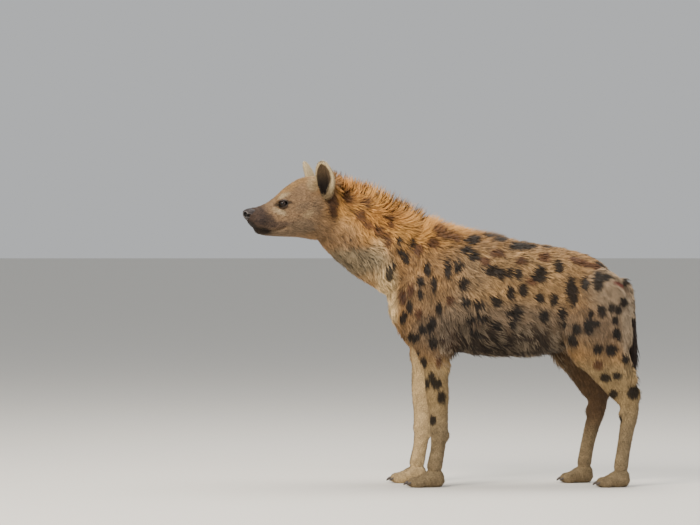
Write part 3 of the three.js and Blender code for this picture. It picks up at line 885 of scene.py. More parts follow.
def in_cup(upright, facing):
    """From 0 on the back or rim of an ear to 1 in its cup; facing is how far it looks forwards."""
    x, y, z = upright.T
    width = np.interp(z, [5, 40, 67, 92, 112], [14, 27, 34, 26, 10])
    across = 1 - smoothstep(np.abs(x) / width, 0.8, 1.05)
    height = smoothstep(-z, -114, -104) * smoothstep(z, 4, 12)
    return across * smoothstep(facing, -0.25, 0.15) * height


def ear_colours(points, normals, flank):
    """The colour of an ear at each point, and how far the point lies in its cup."""
    upright = head_to_ear(points, flank)
    facing = (head_to_ear(points + normals * MM, flank) - upright)[:, 1]
    cup = in_cup(upright, facing)
    height = upright[:, 2] / EAR_HEIGHT
    back = mixed(EAR_ROOT_TAN, EAR_BACK_PALE, smoothstep(height, 0.0, 0.5))
    # The cup's brown lining, darkened deep down with painted shadow
    lining_with_shadow = mixed(EAR_CUP_SHADOW, EAR_CUP_BROWN, smoothstep(height, 0.3, 0.95))
    return mixed(back, lining_with_shadow, cup), cup


ears = {}
for side, flank in SIDES:
    ears[side] = ear_object(f"ear_shell_{side}", flank)
    paint(ears[side], ear_colours(places_of(ears[side]), normals_of(ears[side]), flank)[0])
    print("ear:", len(ears[side].data.polygons), "faces")

# %% [markdown]
# Blunt claws grow from the toes, four to a paw. They are horn, short forms that bend downwards.

# %% Claws
TOE_TIP = -20


def claw_forms():
    pieces = []
    for leg in LEGS:
        size = leg["size"]
        for flank in FLANKS:
            x, y = ankle_of(leg, flank)
            for ahead, aside in TOES:
                tip = x + (ahead + TOE_TIP) * size
                side = y + aside * size
                claw = [
                    (tip + 9, side, 15, 0, 0, 0),
                    (tip + 4, side, 15, 3.8 * size, 4.6 * size, 4.6 * size),
                    (tip - 6 * size, side, 14, 3.2 * size, 4 * size, 4 * size),
                    (tip - 14 * size, side, 9, 2 * size, 2.2 * size, 2.2 * size),
                    (tip - 17 * size, side, 6, 0, 0, 0),
                ]
                pieces.append(form_object("claw", claw, 16, 18))
    return pieces


claws = joined("claws", claw_forms())
face_outwards(claws)
claws.data.shade_smooth()

# %% [markdown]
# ## Markings
# The colour of the coat is one function of a place on the animal, used for the skin and for each
# tuft, so that a spot is the same on both. The ground colours are named tones that soft patches
# lay over one another. Spots are listed by where they lie in the photo: pixel across, pixel down,
# half width, half height and, where one leans, its lean in degrees. The far flank has the same
# spots moved about by a seeded draw, as no hyena is the same on both sides.

# %% Ground colours
TAN = tone("#85623a")
BUFF = tone("#8a6d48")
GREY_BUFF = tone("#625444")
# Painted shade for the underside of the belly
BELLY_SHADE = tone("#251b13")
CREAM = tone("#a69278")
STRAW = tone("#dcbd8c")
GOLD = tone("#bb8743")
RUST = tone("#8c5526")
THROAT_GREY = tone("#6d604a")
FACE_BROWN = tone("#7c6349")
BROW_PALE = tone("#b8a684")
FACE_PALE = tone("#a18d6a")
CROWN_TAN = tone("#8c6d46")
MUZZLE_BROWN = tone("#3a2e29")
LIP_BLACK = tone("#100c0a")
# Dark brown of the nape and face; at the armpit the same tone is painted shade
NAPE_BROWN_AND_ARMPIT_SHADE = tone("#2e170b")
LEG_TAN = tone("#8b7450")
LEG_GREY = tone("#78684f")
# Painted shade for the inner sides of the hind legs and for the far hind leg
SHANK_SHADE = tone("#4b3725")
TAIL_BLACK = tone("#291c14")
SPOT_BLACK = tone("#0b0807")
SPOT_BROWN = tone("#452614")
WOUND_RED = tone("#651a1a")

# Soft patches over the ground: tone, middle x and z, reach along x and z, strength
PATCHES = [
    (BUFF, (200, 640), (330, 130), 0.9),
    (GREY_BUFF, (190, 500), (330, 90), 0.8),
    (CREAM, (560, 620), (110, 110), 0.8),
    (CREAM, (590, 490), (42, 110), 0.8),
    (GREY_BUFF, (500, 470), (70, 80), 0.45),
    (GREY_BUFF, (60, 660), (90, 70), 0.4),
    (TAN, (470, 600), (110, 100), 0.15),
    (GREY_BUFF, (500, 540), (80, 120), 0.4),
    (GREY_BUFF, (-40, 470), (70, 80), 0.45),
    (GREY_BUFF, (40, 520), (60, 110), 0.6),
    # Painted shade under the belly
    (BELLY_SHADE, (110, 450), (120, 84), 0.9),
    (BELLY_SHADE, (270, 440), (130, 74), 0.88),
    # Painted shade in the armpit behind the forelegs
    (NAPE_BROWN_AND_ARMPIT_SHADE, (22, 462), (34, 42), 0.85),
    (TAN, (-60, 680), (120, 110), 0.6),
    (GREY_BUFF, (-70, 600), (70, 60), 0.35),
    (STRAW, (-176, 590), (40, 130), 0.85),
    (STRAW, (-205, 740), (26, 50), 0.4),
    (STRAW, (-228, 685), (40, 40), 0.35),
    (BUFF, (440, 410), (60, 70), 0.35),
    (GOLD, (-60, 830), (190, 85), 0.8),
    (GOLD, (-250, 880), (140, 110), 0.85),
    (RUST, (-300, 930), (60, 70), 0.3),
    (RUST, (-190, 840), (90, 35), 0.35),
    (FACE_BROWN, (-330, 790), (80, 60), 0.6),
    (THROAT_GREY, (-280, 710), (125, 46), 0.92),
    (FACE_BROWN, (-500, 865), (150, 130), 1.0),
]


def soft_patch(across, up, middle, reach):
    """1 in the middle of a soft ellipse, and 0 past its reach."""
    distance = np.hypot((across - middle[0]) / reach[0], (up - middle[1]) / reach[1])
    return 1 - smoothstep(distance, 0.55, 1.25)


def leaned(pixels, across, down, lean):
    """Pixels measured along and square to an ellipse that leans by some degrees."""
    turn = math.radians(lean)
    x = pixels[:, 0] - across
    y = pixels[:, 1] - down
    return x * math.cos(turn) + y * math.sin(turn), y * math.cos(turn) - x * math.sin(turn)


# %% Ground of the head
# Tone, pixel across and down, half width and height, lean in degrees, strength
FACE_PATCHES = [
    (CROWN_TAN, (290, 186), (22, 5), -38, 0.8),
    (CROWN_TAN, (310, 178), (12, 5), -10, 0.6),
    (FACE_PALE, (313, 184), (7, 8), 0, 0.55),
    (BROW_PALE, (284, 195.6), (7, 2.4), -28, 0.48),
    (BROW_PALE, (280, 212), (8, 3.2), 20, 0.42),
    (GREY_BUFF, (302, 226), (16, 8), 0, 0.6),
    (GREY_BUFF, (303, 207), (9, 5), -20, 0.4),
    (FACE_PALE, (308, 214), (7, 4), -30, 0.35),
    (GREY_BUFF, (320, 205), (8, 14), 20, 0.4),
    (NAPE_BROWN_AND_ARMPIT_SHADE, (293.5, 222.5), (1.6, 1.2), 0, 0.8),
    (NAPE_BROWN_AND_ARMPIT_SHADE, (299, 216), (1.5, 1), 30, 0.5),
    (NAPE_BROWN_AND_ARMPIT_SHADE, (286, 216), (1.4, 1), 0, 0.5),
    (GREY_BUFF, (280, 233), (16, 4), 0, 0.6),
    (MUZZLE_BROWN, (256, 215), (13, 14), 0, 0.92),
    (MUZZLE_BROWN, (267, 222), (10, 9), 20, 0.8),
    (MUZZLE_BROWN, (281, 225), (11, 4), -8, 0.7),
    (LIP_BLACK, (262, 231), (11, 4.5), 10, 0.9),
    (LIP_BLACK, (250, 226), (9, 6), 40, 0.8),
    (LIP_BLACK, (283.5, 204.5), (6.5, 5), 5, 0.8),
    (LIP_BLACK, (277, 205), (4, 1.8), -8, 0.7),
    (LIP_BLACK, (288.5, 202.6), (4, 1.8), 8, 0.7),
]


def head_colours(ground, points):
    """The face, painted for its left side and mirrored on the head to the right one."""
    straight = straight_head(points)
    straight[:, 1] = -np.abs(straight[:, 1])
    seen = photo_pixel(turned_head(straight))
    seen += 0.9 * ripples(points, 0.014, (5, 6))
    patches = [
        (patch, strength * soft_patch(*leaned(seen, *middle, lean), (0, 0), reach))
        for patch, middle, reach, lean, strength in FACE_PATCHES
    ]
    mottle = 1 + 0.26 * ripple(points, 0.007, 9) + 0.12 * ripple(points, 0.016, 10)
    return layered(ground, patches) * mottle[:, None]


# %% Spots
DARK_SPOTS = [
    (388.6, 272.5, 2.7, 7), (393.4, 266.3, 1.6, 2.5), (397.9, 240.4, 2, 5), (410.7, 243, 2, 5),
    (405, 257.3, 2, 5.5), (400, 252, 1.5, 3), (427.3, 269, 2.3, 6), (433.6, 283.5, 2.5, 7),
    (447, 267.5, 2.5, 9), (458.6, 267, 4, 5, 20), (420.2, 281.4, 2, 5), (420.2, 294, 1.8, 4),
    (409.5, 307.3, 2, 5), (403.8, 317, 2.3, 5, 15), (430.9, 324.3, 3.5, 8, 15),
    (422.3, 328.8, 2.7, 4.5), (415.7, 336.8, 2.3, 4.5, 25), (410, 335.9, 1.5, 3.5, 25),
    (433, 342, 3.5, 5.7), (438, 307.3, 2, 5), (416.6, 353.8, 1.5, 3), (423.8, 362.7, 2.3, 4.5),
    (431.8, 377, 2.5, 4.5), (436.3, 383.2, 4.5, 4.5), (426.8, 384.1, 2, 4.5),
    (441.6, 397.5, 3.2, 5.7), (471, 241.3, 6, 3), (465.7, 250.2, 5, 3), (472.9, 256, 4.5, 4),
    (487, 237, 5, 1.5), (497.9, 240, 6, 2.7), (521, 246.6, 13, 4), (547.9, 246.6, 7.5, 2),
    (569.3, 249.3, 7, 1.5), (490.7, 270.7, 7, 5), (500.5, 274.3, 3.5, 4.5), (508.6, 272.5, 3, 4),
    (517.9, 274.3, 3, 5), (538.9, 274.3, 7, 7.5), (557.3, 266.8, 4, 6, -20),
    (463, 283.2, 4.3, 6), (522.5, 289.5, 4, 6), (510, 292.1, 3, 6), (464.6, 300.7, 4.6, 4.3),
    (478.6, 304.6, 4.3, 4.3), (495.7, 300.7, 4.6, 4.6), (538.9, 298, 4, 4),
    (553.6, 299.3, 2.5, 5), (515.7, 311.8, 4.5, 6.8), (507.7, 312.7, 2, 2.5),
    (542.9, 315.9, 4.5, 5.4), (470.2, 318, 5, 2.7), (482.7, 317.1, 5.4, 2.7),
    (496, 325, 3.6, 4.5), (511.3, 323.4, 2.7, 3.6), (475.5, 332.3, 5, 3.2, 20),
    (571.5, 291.6, 5, 14.6, -10), (584.5, 283.2, 3, 6.5), (597.5, 281.4, 4.5, 9),
    (604.6, 277.5, 4.5, 2.7), (625.5, 282.3, 2.7, 3.2), (623.2, 302.9, 2.5, 5),
    (611.3, 307.3, 2.5, 4), (618, 310, 2.5, 4.5), (601.4, 310.9, 3.6, 5.4),
    (590.4, 313.6, 2, 3.2), (588.6, 326, 4.3, 7.5), (596, 323.4, 2, 2.5),
    (561.8, 313.6, 2.5, 5.4), (563.9, 324.3, 2, 2.5), (576.4, 329.3, 3.2, 5.4),
    (572.9, 340.4, 3.6, 6.3, -20), (614.8, 320.4, 2, 4), (616.6, 333.2, 3, 5),
    (597.9, 348.4, 4, 3.6), (610.9, 349.3, 4.8, 4.8), (624.6, 358.2, 2.5, 3.2),
    (605.4, 377.5, 4.5, 3.6), (616.6, 375.2, 3.6, 3.2), (613, 394, 3.6, 3.6),
    (633.2, 392.1, 5, 6.4), (602.3, 265.4, 9, 1.5, 24), (618, 420, 3, 4), (433, 420, 2.5, 4),
]
SOFT_SPOTS = [
    (418, 250, 4, 4), (432, 244, 5, 3.5), (410.7, 289.5, 2, 5), (418.4, 312.7, 3, 4),
    (438.6, 361.8, 2, 6), (496, 253.8, 6, 3), (519.3, 261.8, 4.5, 3.5), (542.5, 258.2, 6, 3.5),
    (598.2, 365, 4, 4), (574.6, 261, 6, 2, 20), (583.6, 264.5, 5, 2, 20), (594, 267, 5, 2, 20),
    (346.6, 197.4, 2.6, 7.3, -20), (359, 215.5, 4.4, 5), (366.4, 225, 3.5, 4),
    (376.7, 231, 3.6, 4.5), (385.5, 239.7, 3.7, 6), (389.2, 222, 3, 6.6), (366, 204.5, 4, 5),
    (440, 234, 8, 4, 30), (452, 238, 6, 3, 30), (403, 297, 3, 6), (530, 281, 5, 3),
    (484, 262, 4, 3), (450, 300, 3, 4),
]
WOUND = [(617.5, 284, 5, 1, 25)]
FAR_SIDE_SHIFT = 5.5
SPOT_BLUR = 1.3


def spot_strength(pixels, spots, ragged):
    """How deep each pixel lies in the spots, from 0 outside to 1 inside."""
    strength = np.zeros(len(pixels))
    for across, down, wide, high, *lean in spots:
        along, upright = leaned(pixels, across, down, lean[0] if lean else 0)
        distance = np.hypot(along / (wide + SPOT_BLUR), upright / (high + SPOT_BLUR))
        depth = 1 - smoothstep(distance + ragged, 0.78, 1.2)
        strength = np.maximum(strength, depth)
    return strength


def far_side(spots, seed):
    """The spots of the right flank: those of the left one, each moved a little."""
    shifts = np.random.default_rng(seed).uniform(-1, 1, (len(spots), 2)) * FAR_SIDE_SHIFT
    moved = np.array([spot[:2] for spot in spots]) + shifts
    return [(x, y, *spot[2:]) for (x, y), spot in zip(moved, spots)]


def on_both_sides(near, pixels, spots, seed, ragged):
    listed = spot_strength(pixels, spots, ragged)
    return np.where(near, listed, spot_strength(pixels, far_side(spots, seed), ragged))


# %% The colour of the coat at a place
def coat_colours(points, normals):
    """The coat's colour at each place: patches, belly, legs, head, nape, spots and tail, with
    painted shade under the belly, at the armpit and on the inner and far hind legs.
    """
    x, y, z = (points / MM).T
    side = np.where(y < 0, -1, 1)
    patches = [
        (patch, strength * soft_patch(x, z, middle, reach))
        for patch, middle, reach, strength in PATCHES
    ]
    # Painted shade where the skin faces down, under the chest and belly
    underside_shade = smoothstep(-normals[:, 2], 0.35, 0.9) * smoothstep(z, 330, 400)
    underside_shade = underside_shade * smoothstep(x, -120, -40)
    on_leg = smoothstep(-z, -430, -360)
    inner = smoothstep(normals[:, 1] * -side, 0.1, 0.7) * smoothstep(-z, -470, -400)
    # Painted shade on the inner hind legs and on the far hind leg
    hind_inside_shade = inner * (x > 250) * smoothstep(z, 120, 260)
    far_shank_shade = (y > 0) * (x > 300) * smoothstep(z, 140, 220) * smoothstep(-z, -430, -330)
    colours = layered(np.tile(TAN, (len(points), 1)), patches + [
        (BELLY_SHADE, 0.85 * underside_shade),
        (LEG_TAN, on_leg),
        (LEG_GREY, on_leg * smoothstep(-z, -300, -160) * 0.8),
        (STRAW, 0.6 * inner * (x < 250)),
        (SHANK_SHADE, 0.8 * hind_inside_shade),
        (SHANK_SHADE, 0.7 * far_shank_shade),
    ])
    behind_jaw = 345 + 45 * smoothstep(-z, -905, -850)
    mottle = 0.16 * ripple(points, 0.014, 12) + 0.14 * ripple(points, 0.04, 13)
    colours = colours * (1 + on_leg * mottle)[:, None]
    head = smoothstep(-x - behind_jaw, -14, 14) * (z > 740)
    nape = soft_patch(x, z, (-346, 880), (20, 46)) * smoothstep(np.abs(y), 25, 50)
    mirrored = points * np.array([1, -1, 1])
    left = photo_pixel(np.where((y > 0)[:, None], mirrored, points))
    ragged = 0.16 * ripple(points, 0.009, 3)
    outer = smoothstep(normals[:, 1] * side, -0.15, 0.3)
    soft = on_both_sides(y < 0, left, SOFT_SPOTS, 8, ragged)
    dark = on_both_sides(y < 0, left, DARK_SPOTS, 7, ragged)
    wound = spot_strength(left, WOUND, ragged) * (y < 0)
    tail = (x > 560) * smoothstep(-z, -640, -560) * (np.abs(y) < 30) * smoothstep(x, 588, 594)
    return layered(colours, [
        (head_colours(colours, points), head),
        (NAPE_BROWN_AND_ARMPIT_SHADE, 0.9 * nape),
        (SPOT_BROWN, 0.85 * soft * outer),
        (SPOT_BLACK, 0.93 * dark * outer),
        (WOUND_RED, 0.8 * wound * outer),
        (TAIL_BLACK, 0.9 * tail * smoothstep(-z, -560, -480)),
    ])


# %% [markdown]
# ## The coat
# Hair is combed by guides: at each guide's place, seen from the side, it stands the way that it
# lies, its length and how far it stands off the skin. A tuft takes a blend of the guides near it.
# The mane has guides of its own along the crest of the neck, where hair stands on end, leans
# forwards behind the ears and is laid back from the withers on.

# %% Combing
# Place x and z, the way it lies along x and z, length, and rise from 0 flat to 1 upright
COMBING = [
    (-612, 850, 1, 0.1, 4, 0.15), (-590, 872, 1, 0.25, 5, 0.15), (-555, 890, 1, 0.5, 7, 0.15),
    (-575, 830, 1, -0.1, 6, 0.15), (-590, 806, 1, -0.3, 7, 0.2), (-540, 800, 1, -0.1, 9, 0.2),
    (-500, 930, 1, 0.6, 10, 0.2), (-525, 858, 1, -0.25, 8, 0.15), (-480, 880, 1, 0.0, 11, 0.18),
    (-440, 965, 1, 0.15, 14, 0.25), (-430, 890, 1, -0.15, 14, 0.2), (-470, 810, 1, -0.1, 13, 0.22),
    (-400, 800, 0.8, -0.6, 24, 0.28), (-385, 870, 0.8, -0.45, 20, 0.25),
    (-330, 890, 0.6, -0.8, 40, 0.32), (-260, 830, 0.6, -0.8, 46, 0.32),
    (-180, 770, 0.6, -0.8, 46, 0.3), (-290, 725, 0.75, -0.65, 32, 0.36),
    (-210, 660, 0.6, -0.8, 36, 0.34), (-170, 560, 0.25, -1, 28, 0.22),
    (-90, 800, 0.65, -0.75, 48, 0.3), (-90, 690, 0.35, -0.95, 32, 0.24),
    (-60, 590, 0.2, -1, 27, 0.22), (-40, 500, 0.1, -1, 24, 0.2),
    (10, 780, 0.8, -0.6, 40, 0.26), (20, 660, 0.45, -0.9, 32, 0.25),
    (40, 540, 0.35, -0.95, 48, 0.34), (120, 760, 1, -0.35, 40, 0.32),
    (140, 660, 0.75, -0.7, 31, 0.22), (140, 540, 0.75, -0.7, 38, 0.28),
    (110, 445, 0.6, -0.8, 52, 0.42), (260, 740, 1, -0.25, 36, 0.34),
    (270, 640, 0.85, -0.6, 28, 0.2), (270, 530, 0.8, -0.6, 33, 0.26),
    (280, 440, 0.3, -0.95, 48, 0.4), (400, 730, 1, -0.25, 33, 0.34),
    (420, 620, 0.8, -0.65, 24, 0.2), (400, 500, 0.6, -0.8, 27, 0.24),
    (520, 690, 0.9, -0.5, 25, 0.2), (540, 580, 0.45, -0.9, 20, 0.18),
    (480, 480, 0.4, -0.95, 19, 0.18), (590, 600, 0.2, -1, 24, 0.2),
    (570, 480, 0.2, -1, 20, 0.18), (-50, 400, 0.05, -1, 18, 0.16),
    (-20, 300, 0, -1, 14, 0.14), (-12, 200, 0, -1, 11, 0.12), (-20, 100, -0.1, -1, 10, 0.12),
    (-70, 30, -0.8, -0.5, 7, 0.12), (510, 380, 0.2, -1, 17, 0.16), (560, 300, 0.3, -1, 15, 0.14),
    (582, 230, 0, -1, 12, 0.12), (570, 120, -0.1, -1, 10, 0.12), (500, 30, -0.8, -0.5, 7, 0.12),
    (604, 430, 0, -1, 60, 0.2),
]
COMB_REACH = 52
# Along the crest, from the ears to the back: x, lean along x and z, length
MANE_COMBING = [
    (-385, -0.2, 1, 34),
    (-340, -0.35, 0.94, 62),
    (-260, 0.02, 1, 70),
    (-150, 0.3, 0.95, 76),
    (-80, 0.5, 0.87, 74),
    (-20, 0.85, 0.5, 56),
    (30, 0.97, 0.26, 50),
    (140, 0.97, 0.2, 50),
    (220, 0.97, 0.2, 50),
]


def combed(points, normals):
    """How the coat lies at each point: its way, length and rise, how much of it is mane, and the
    mane's way and length there."""
    x, y, z = (points / MM).T
    level = np.zeros(len(x))
    guides = np.array(COMBING, float)
    gaps = (x[:, None] - guides[None, :, 0]) ** 2 + (z[:, None] - guides[None, :, 1]) ** 2
    weights = np.exp(-gaps / (2 * COMB_REACH**2)) + 1e-12 / (gaps + 1)
    weights /= weights.sum(axis=1, keepdims=True)
    blend = weights @ guides[:, 2:]
    way = np.stack([blend[:, 0], level, blend[:, 1]], axis=1)
    length, rise = blend[:, 2], blend[:, 3]
    crest = np.array(MANE_COMBING, float)
    lean_x = np.interp(x, crest[:, 0], crest[:, 1])
    lean_z = np.interp(x, crest[:, 0], crest[:, 2])
    mane_length = np.interp(x, crest[:, 0], crest[:, 3])
    on_top = smoothstep(normals[:, 2] - 0.35 * normals[:, 0], 0.25, 0.85)
    mane = on_top * smoothstep(-np.abs(y), -78, -30) * smoothstep(x, -392, -362)
    mane = mane * smoothstep(-x, -240, -120) * smoothstep(z, 720, 760)
    upright = unit(np.stack([lean_x, level, lean_z], axis=1))
    return way, length, rise, mane, upright, mane_length


# %% Where tufts grow
def scattered(piece, weight_of, count, seed):
    """count seeded places on a piece, more where the weight is high, with their normals."""
    mesh = piece.data
    mesh.calc_loop_triangles()
    corners = np.empty(len(mesh.loop_triangles) * 3, np.int32)
    mesh.loop_triangles.foreach_get("vertices", corners)
    corners = corners.reshape(-1, 3)
    places = places_of(piece)
    normals = normals_of(piece)
    a, b, c = (places[corners[:, k]] for k in range(3))
    areas = np.linalg.norm(np.cross(b - a, c - a), axis=1) / 2
    weights = areas * weight_of((a + b + c) / 3, unit(normals[corners].sum(axis=1)))
    draw = np.random.default_rng(seed)
    steps = (np.arange(count) + draw.uniform(0, 1, count)) / count
    chosen = np.searchsorted(np.cumsum(weights) / weights.sum(), steps)
    chosen = np.minimum(chosen, len(corners) - 1)
    u, v = np.sqrt(draw.uniform(0, 1, count)), draw.uniform(0, 1, count)
    shares = np.stack([1 - u, u * (1 - v), u * v], axis=1)[:, :, None]
    roots = (places[corners[chosen]] * shares).sum(axis=1)
    return roots, unit((normals[corners[chosen]] * shares).sum(axis=1))


# %% One mesh of many tufts
TUFT_SIDES = 3
ROOT_SINK = 2.5 * MM
LOWEST_HAIR = 0.3 * MM
PATCH_SIZE = 0.003
LAST_RING = 0.72
# How far a tuft's shading follows the skin below it, so that the coat reads as one surface
SOFTNESS = 0.55


def tuft_mesh(
    name, roots, normals, start, finish, length, width, thick, tints, map_places, spans=2
):
    """Tapered, bent tufts of three sides, joined in one mesh. start and finish are the ways in
    which a tuft leaves the skin and ends; tints are its colours at root and tip. Width, thickness
    and tints are one for each tuft, or one for all."""
    count = len(roots)
    length = length[:, None]
    width, thick = np.broadcast_to(width, count), np.broadcast_to(thick, count)
    tints = [np.broadcast_to(tint, (count, 3)) for tint in tints]
    foot = roots - normals * ROOT_SINK
    bend = roots + start * length * 0.45
    tip = bend + finish * length * 0.55
    broad = unit(np.cross(finish + start, normals))
    loose = np.linalg.norm(np.cross(unit(finish + start), normals), axis=1) < 0.35
    draw = np.random.default_rng(len(roots))
    spin = unit(np.cross(finish + start, draw.normal(size=(count, 3))))
    broad = np.where(loose[:, None], spin, broad)
    shares = np.linspace(0, LAST_RING, spans + 1)
    taper = np.interp(shares, [0, 0.35, LAST_RING], [0.75, 1, 0.62])
    points, vertex_normals, colours = [], [], []
    for share, size in zip(shares, taper):
        middle = (1 - share) ** 2 * foot + 2 * share * (1 - share) * bend + share**2 * tip
        along = unit((1 - share) * (bend - foot) + share * (tip - bend))
        up = unit(np.cross(broad, along))
        up = up * np.sign((up * normals).sum(axis=1, keepdims=True) + 1e-6)
        half = broad * (width * size / 2)[:, None]
        ridge = up * (thick * size)[:, None]
        points += [middle - half, middle + half, middle + ridge]
        faces_out = [unit(-broad + 0.6 * up), unit(broad + 0.6 * up), up]
        vertex_normals += [unit((1 - SOFTNESS) * way + SOFTNESS * normals) for way in faces_out]
        colours += [tints[0] * (1 - share) + tints[1] * share] * 3
    points.append(tip)
    vertex_normals.append(unit(0.3 * finish + normals))
    colours.append(tints[1])
    per_tuft = len(points)
    points = np.stack(points, axis=1).reshape(-1, 3)
    points[:, 2] = np.maximum(points[:, 2], LOWEST_HAIR)
    faces = [(0, 1, 2)]
    for low in range(0, spans * TUFT_SIDES, TUFT_SIDES):
        high = low + TUFT_SIDES
        for corner in range(TUFT_SIDES):
            after = (corner + 1) % TUFT_SIDES
            faces.append((low + corner, high + after, low + after))
            faces.append((low + corner, high + corner, high + after))
    top = spans * TUFT_SIDES
    for corner in range(TUFT_SIDES):
        faces.append((top + corner, per_tuft - 1, top + (corner + 1) % TUFT_SIDES))
    faces = np.array(faces)
    indices = (faces[None] + (np.arange(count) * per_tuft)[:, None, None]).reshape(-1)
    mesh = bpy.data.meshes.new(name)
    mesh.vertices.add(len(points))
    mesh.vertices.foreach_set("co", points.astype(np.float32).ravel())
    mesh.loops.add(len(indices))
    mesh.loops.foreach_set("vertex_index", indices.astype(np.int32))
    mesh.polygons.add(len(indices) // 3)
    mesh.polygons.foreach_set("loop_start", np.arange(0, len(indices), 3, dtype=np.int32))
    mesh.update(calc_edges=True)
    piece = bpy.data.objects.new(name, mesh)
    bpy.context.scene.collection.objects.link(piece)
    paint(piece, np.stack(colours, axis=1).reshape(-1, 3))
    patch = np.array([[0, 0], [1, 0], [0.5, 0.3]] * (spans + 1) + [[0.5, 1]])
    patch[: top + 3, 1] += np.repeat(shares, 3)
    patch = (patch - 0.5) * PATCH_SIZE
    places_uv = (map_places[:, None] + patch[None]).reshape(-1, 2)
    layer = mesh.uv_layers.new(name="OFBake")
    layer.data.foreach_set("uv", places_uv[indices].astype(np.float32).ravel())
    mesh.shade_smooth()
    mesh.normals_split_custom_set_from_vertices(np.stack(vertex_normals, axis=1).reshape(-1, 3))
    return piece


# %% [markdown]
# Each tuft keeps its colour in a small patch of its piece's own map. The map is the skin unrolled
# round the middle line of the body or leg that it covers.

# %% Unrolling the skin
SPINE = [
    (-640, 850), (-560, 845), (-410, 875), (-306, 807), (-157, 690), (-30, 605), (246, 588),
    (640, 596),
]
LINE_SAMPLES = 160
AT_ONCE = 4000
MAP_MARGIN = 0.004


def unrolled(points, lines):
    """Map places of points round the nearest of some lines, each with its own strip."""
    best = np.full(len(points), np.inf)
    place = np.zeros((len(points), 2))
    for strip, line in enumerate(lines):
        knots = np.asarray(line, float) * MM
        dense = curve_points(knots, np.linspace(0, 1, LINE_SAMPLES))
        for low in range(0, len(points), AT_ONCE):
            part = slice(low, low + AT_ONCE)
            gaps = np.linalg.norm(points[part, None] - dense[None], axis=2)
            nearest = gaps.argmin(axis=1)
            gap = gaps[np.arange(len(nearest)), nearest]
            offset = points[part] - dense[nearest]
            ahead = unit(np.gradient(dense, axis=0)[nearest])
            side = unit(np.cross([0.0, 0.0, 1.0], ahead) + np.array([0, 1e-4, 0]))
            up = np.cross(ahead, side)
            turn = np.arctan2((offset * up).sum(axis=1), (offset * side).sum(axis=1))
            across = (turn / (2 * np.pi) + 0.5 + strip) / len(lines)
            found = np.stack([across, nearest / (LINE_SAMPLES - 1)], axis=1)
            closer = gap < best[part]
            best[part] = np.where(closer, gap, best[part])
            place[part] = np.where(closer[:, None], found, place[part])
    low, high = place[:, 1].min(), place[:, 1].max()
    place[:, 1] = (place[:, 1] - low) / max(high - low, 1e-6)
    return MAP_MARGIN + (1 - 2 * MAP_MARGIN) * place


spine_line = [in_side_view(SPINE)]
leg_lines = [middle_line(stations_of(leg, flank)) for leg in LEGS for flank in FLANKS]

# %% [markdown]
# Tufts come in clumps: hair that grows within about 15 mm leans together, and each clump is a
# little longer, lighter or more tilted than the next. That is what makes a coat look shaggy.

# %% Grow the coat
BODY_TUFTS = 64000
SHORT_TUFTS = 34000
BODY_SEED = 41
SHORT_SEED = 42
PART_SEED = 50
SHORT_PART_SEED = 60
CLUMP = 0.015
SHORT_CLUMP = 0.009
# Lengths between which short hair gives way to long
LONG_HAIR = (17, 24)
BARE_ROUND_EYE = 18.5
BARE_LIP = 3.5 * MM
BARE_SOLE = 4 * MM


def clumps_of(points, size, seed):
    """For each point, its clump's middle and four draws from 0 to 1 that the clump shares."""
    cells = np.floor(points / size + 0.35 * ripples(points, size * 3, range(seed, seed + 3)))
    _, member = np.unique(cells.astype(int), axis=0, return_inverse=True)
    member = member.ravel()
    count = member.max() + 1
    total = np.stack([np.bincount(member, points[:, k], count) for k in range(3)], axis=1)
    middle = total / np.bincount(member, minlength=count)[:, None]
    draws = np.random.default_rng(seed).uniform(0, 1, (count, 4))
    return middle[member], draws[member]


def keep_clear(points):
    """0 where no hair grows: on the nose, the lids, the lips, the soles and inside the ears."""
    straight = straight_head(points) / MM
    x, y, z = straight.T
    clear = np.ones(len(points))
    for flank in FLANKS:
        gap = np.linalg.norm(straight - on_flank(EYE_CENTRE, flank), axis=1)
        clear *= gap > BARE_ROUND_EYE
    clear *= ~((x < -606) & (np.abs(y) < 24) & (z > 832))
    face = x < -500
    near = np.ones(len(points))
    near[face] = mouth_distance(straight[face] * MM)
    clear *= ~(face & (near < BARE_LIP))
    clear *= points[:, 2] > BARE_SOLE
    for flank in FLANKS:
        x, y, z = head_to_ear(points, flank).T
        clear *= ~((np.abs(x) < 26) & (y > -14) & (y < 24) & (z > -4) & (z < 60))
    return clear


def body_weight(points, normals):
    _, length, _, mane, _, _ = combed(points, normals)
    dense = (1 + 1.6 * mane) * (30 / np.maximum(length, 20))
    return keep_clear(points) * smoothstep(length, *LONG_HAIR) * dense


def short_weight(points, normals):
    length = combed(points, normals)[1]
    dense = (10 / np.maximum(length, 5)) ** 1.2
    return keep_clear(points) * (1 - smoothstep(length, *LONG_HAIR)) * dense


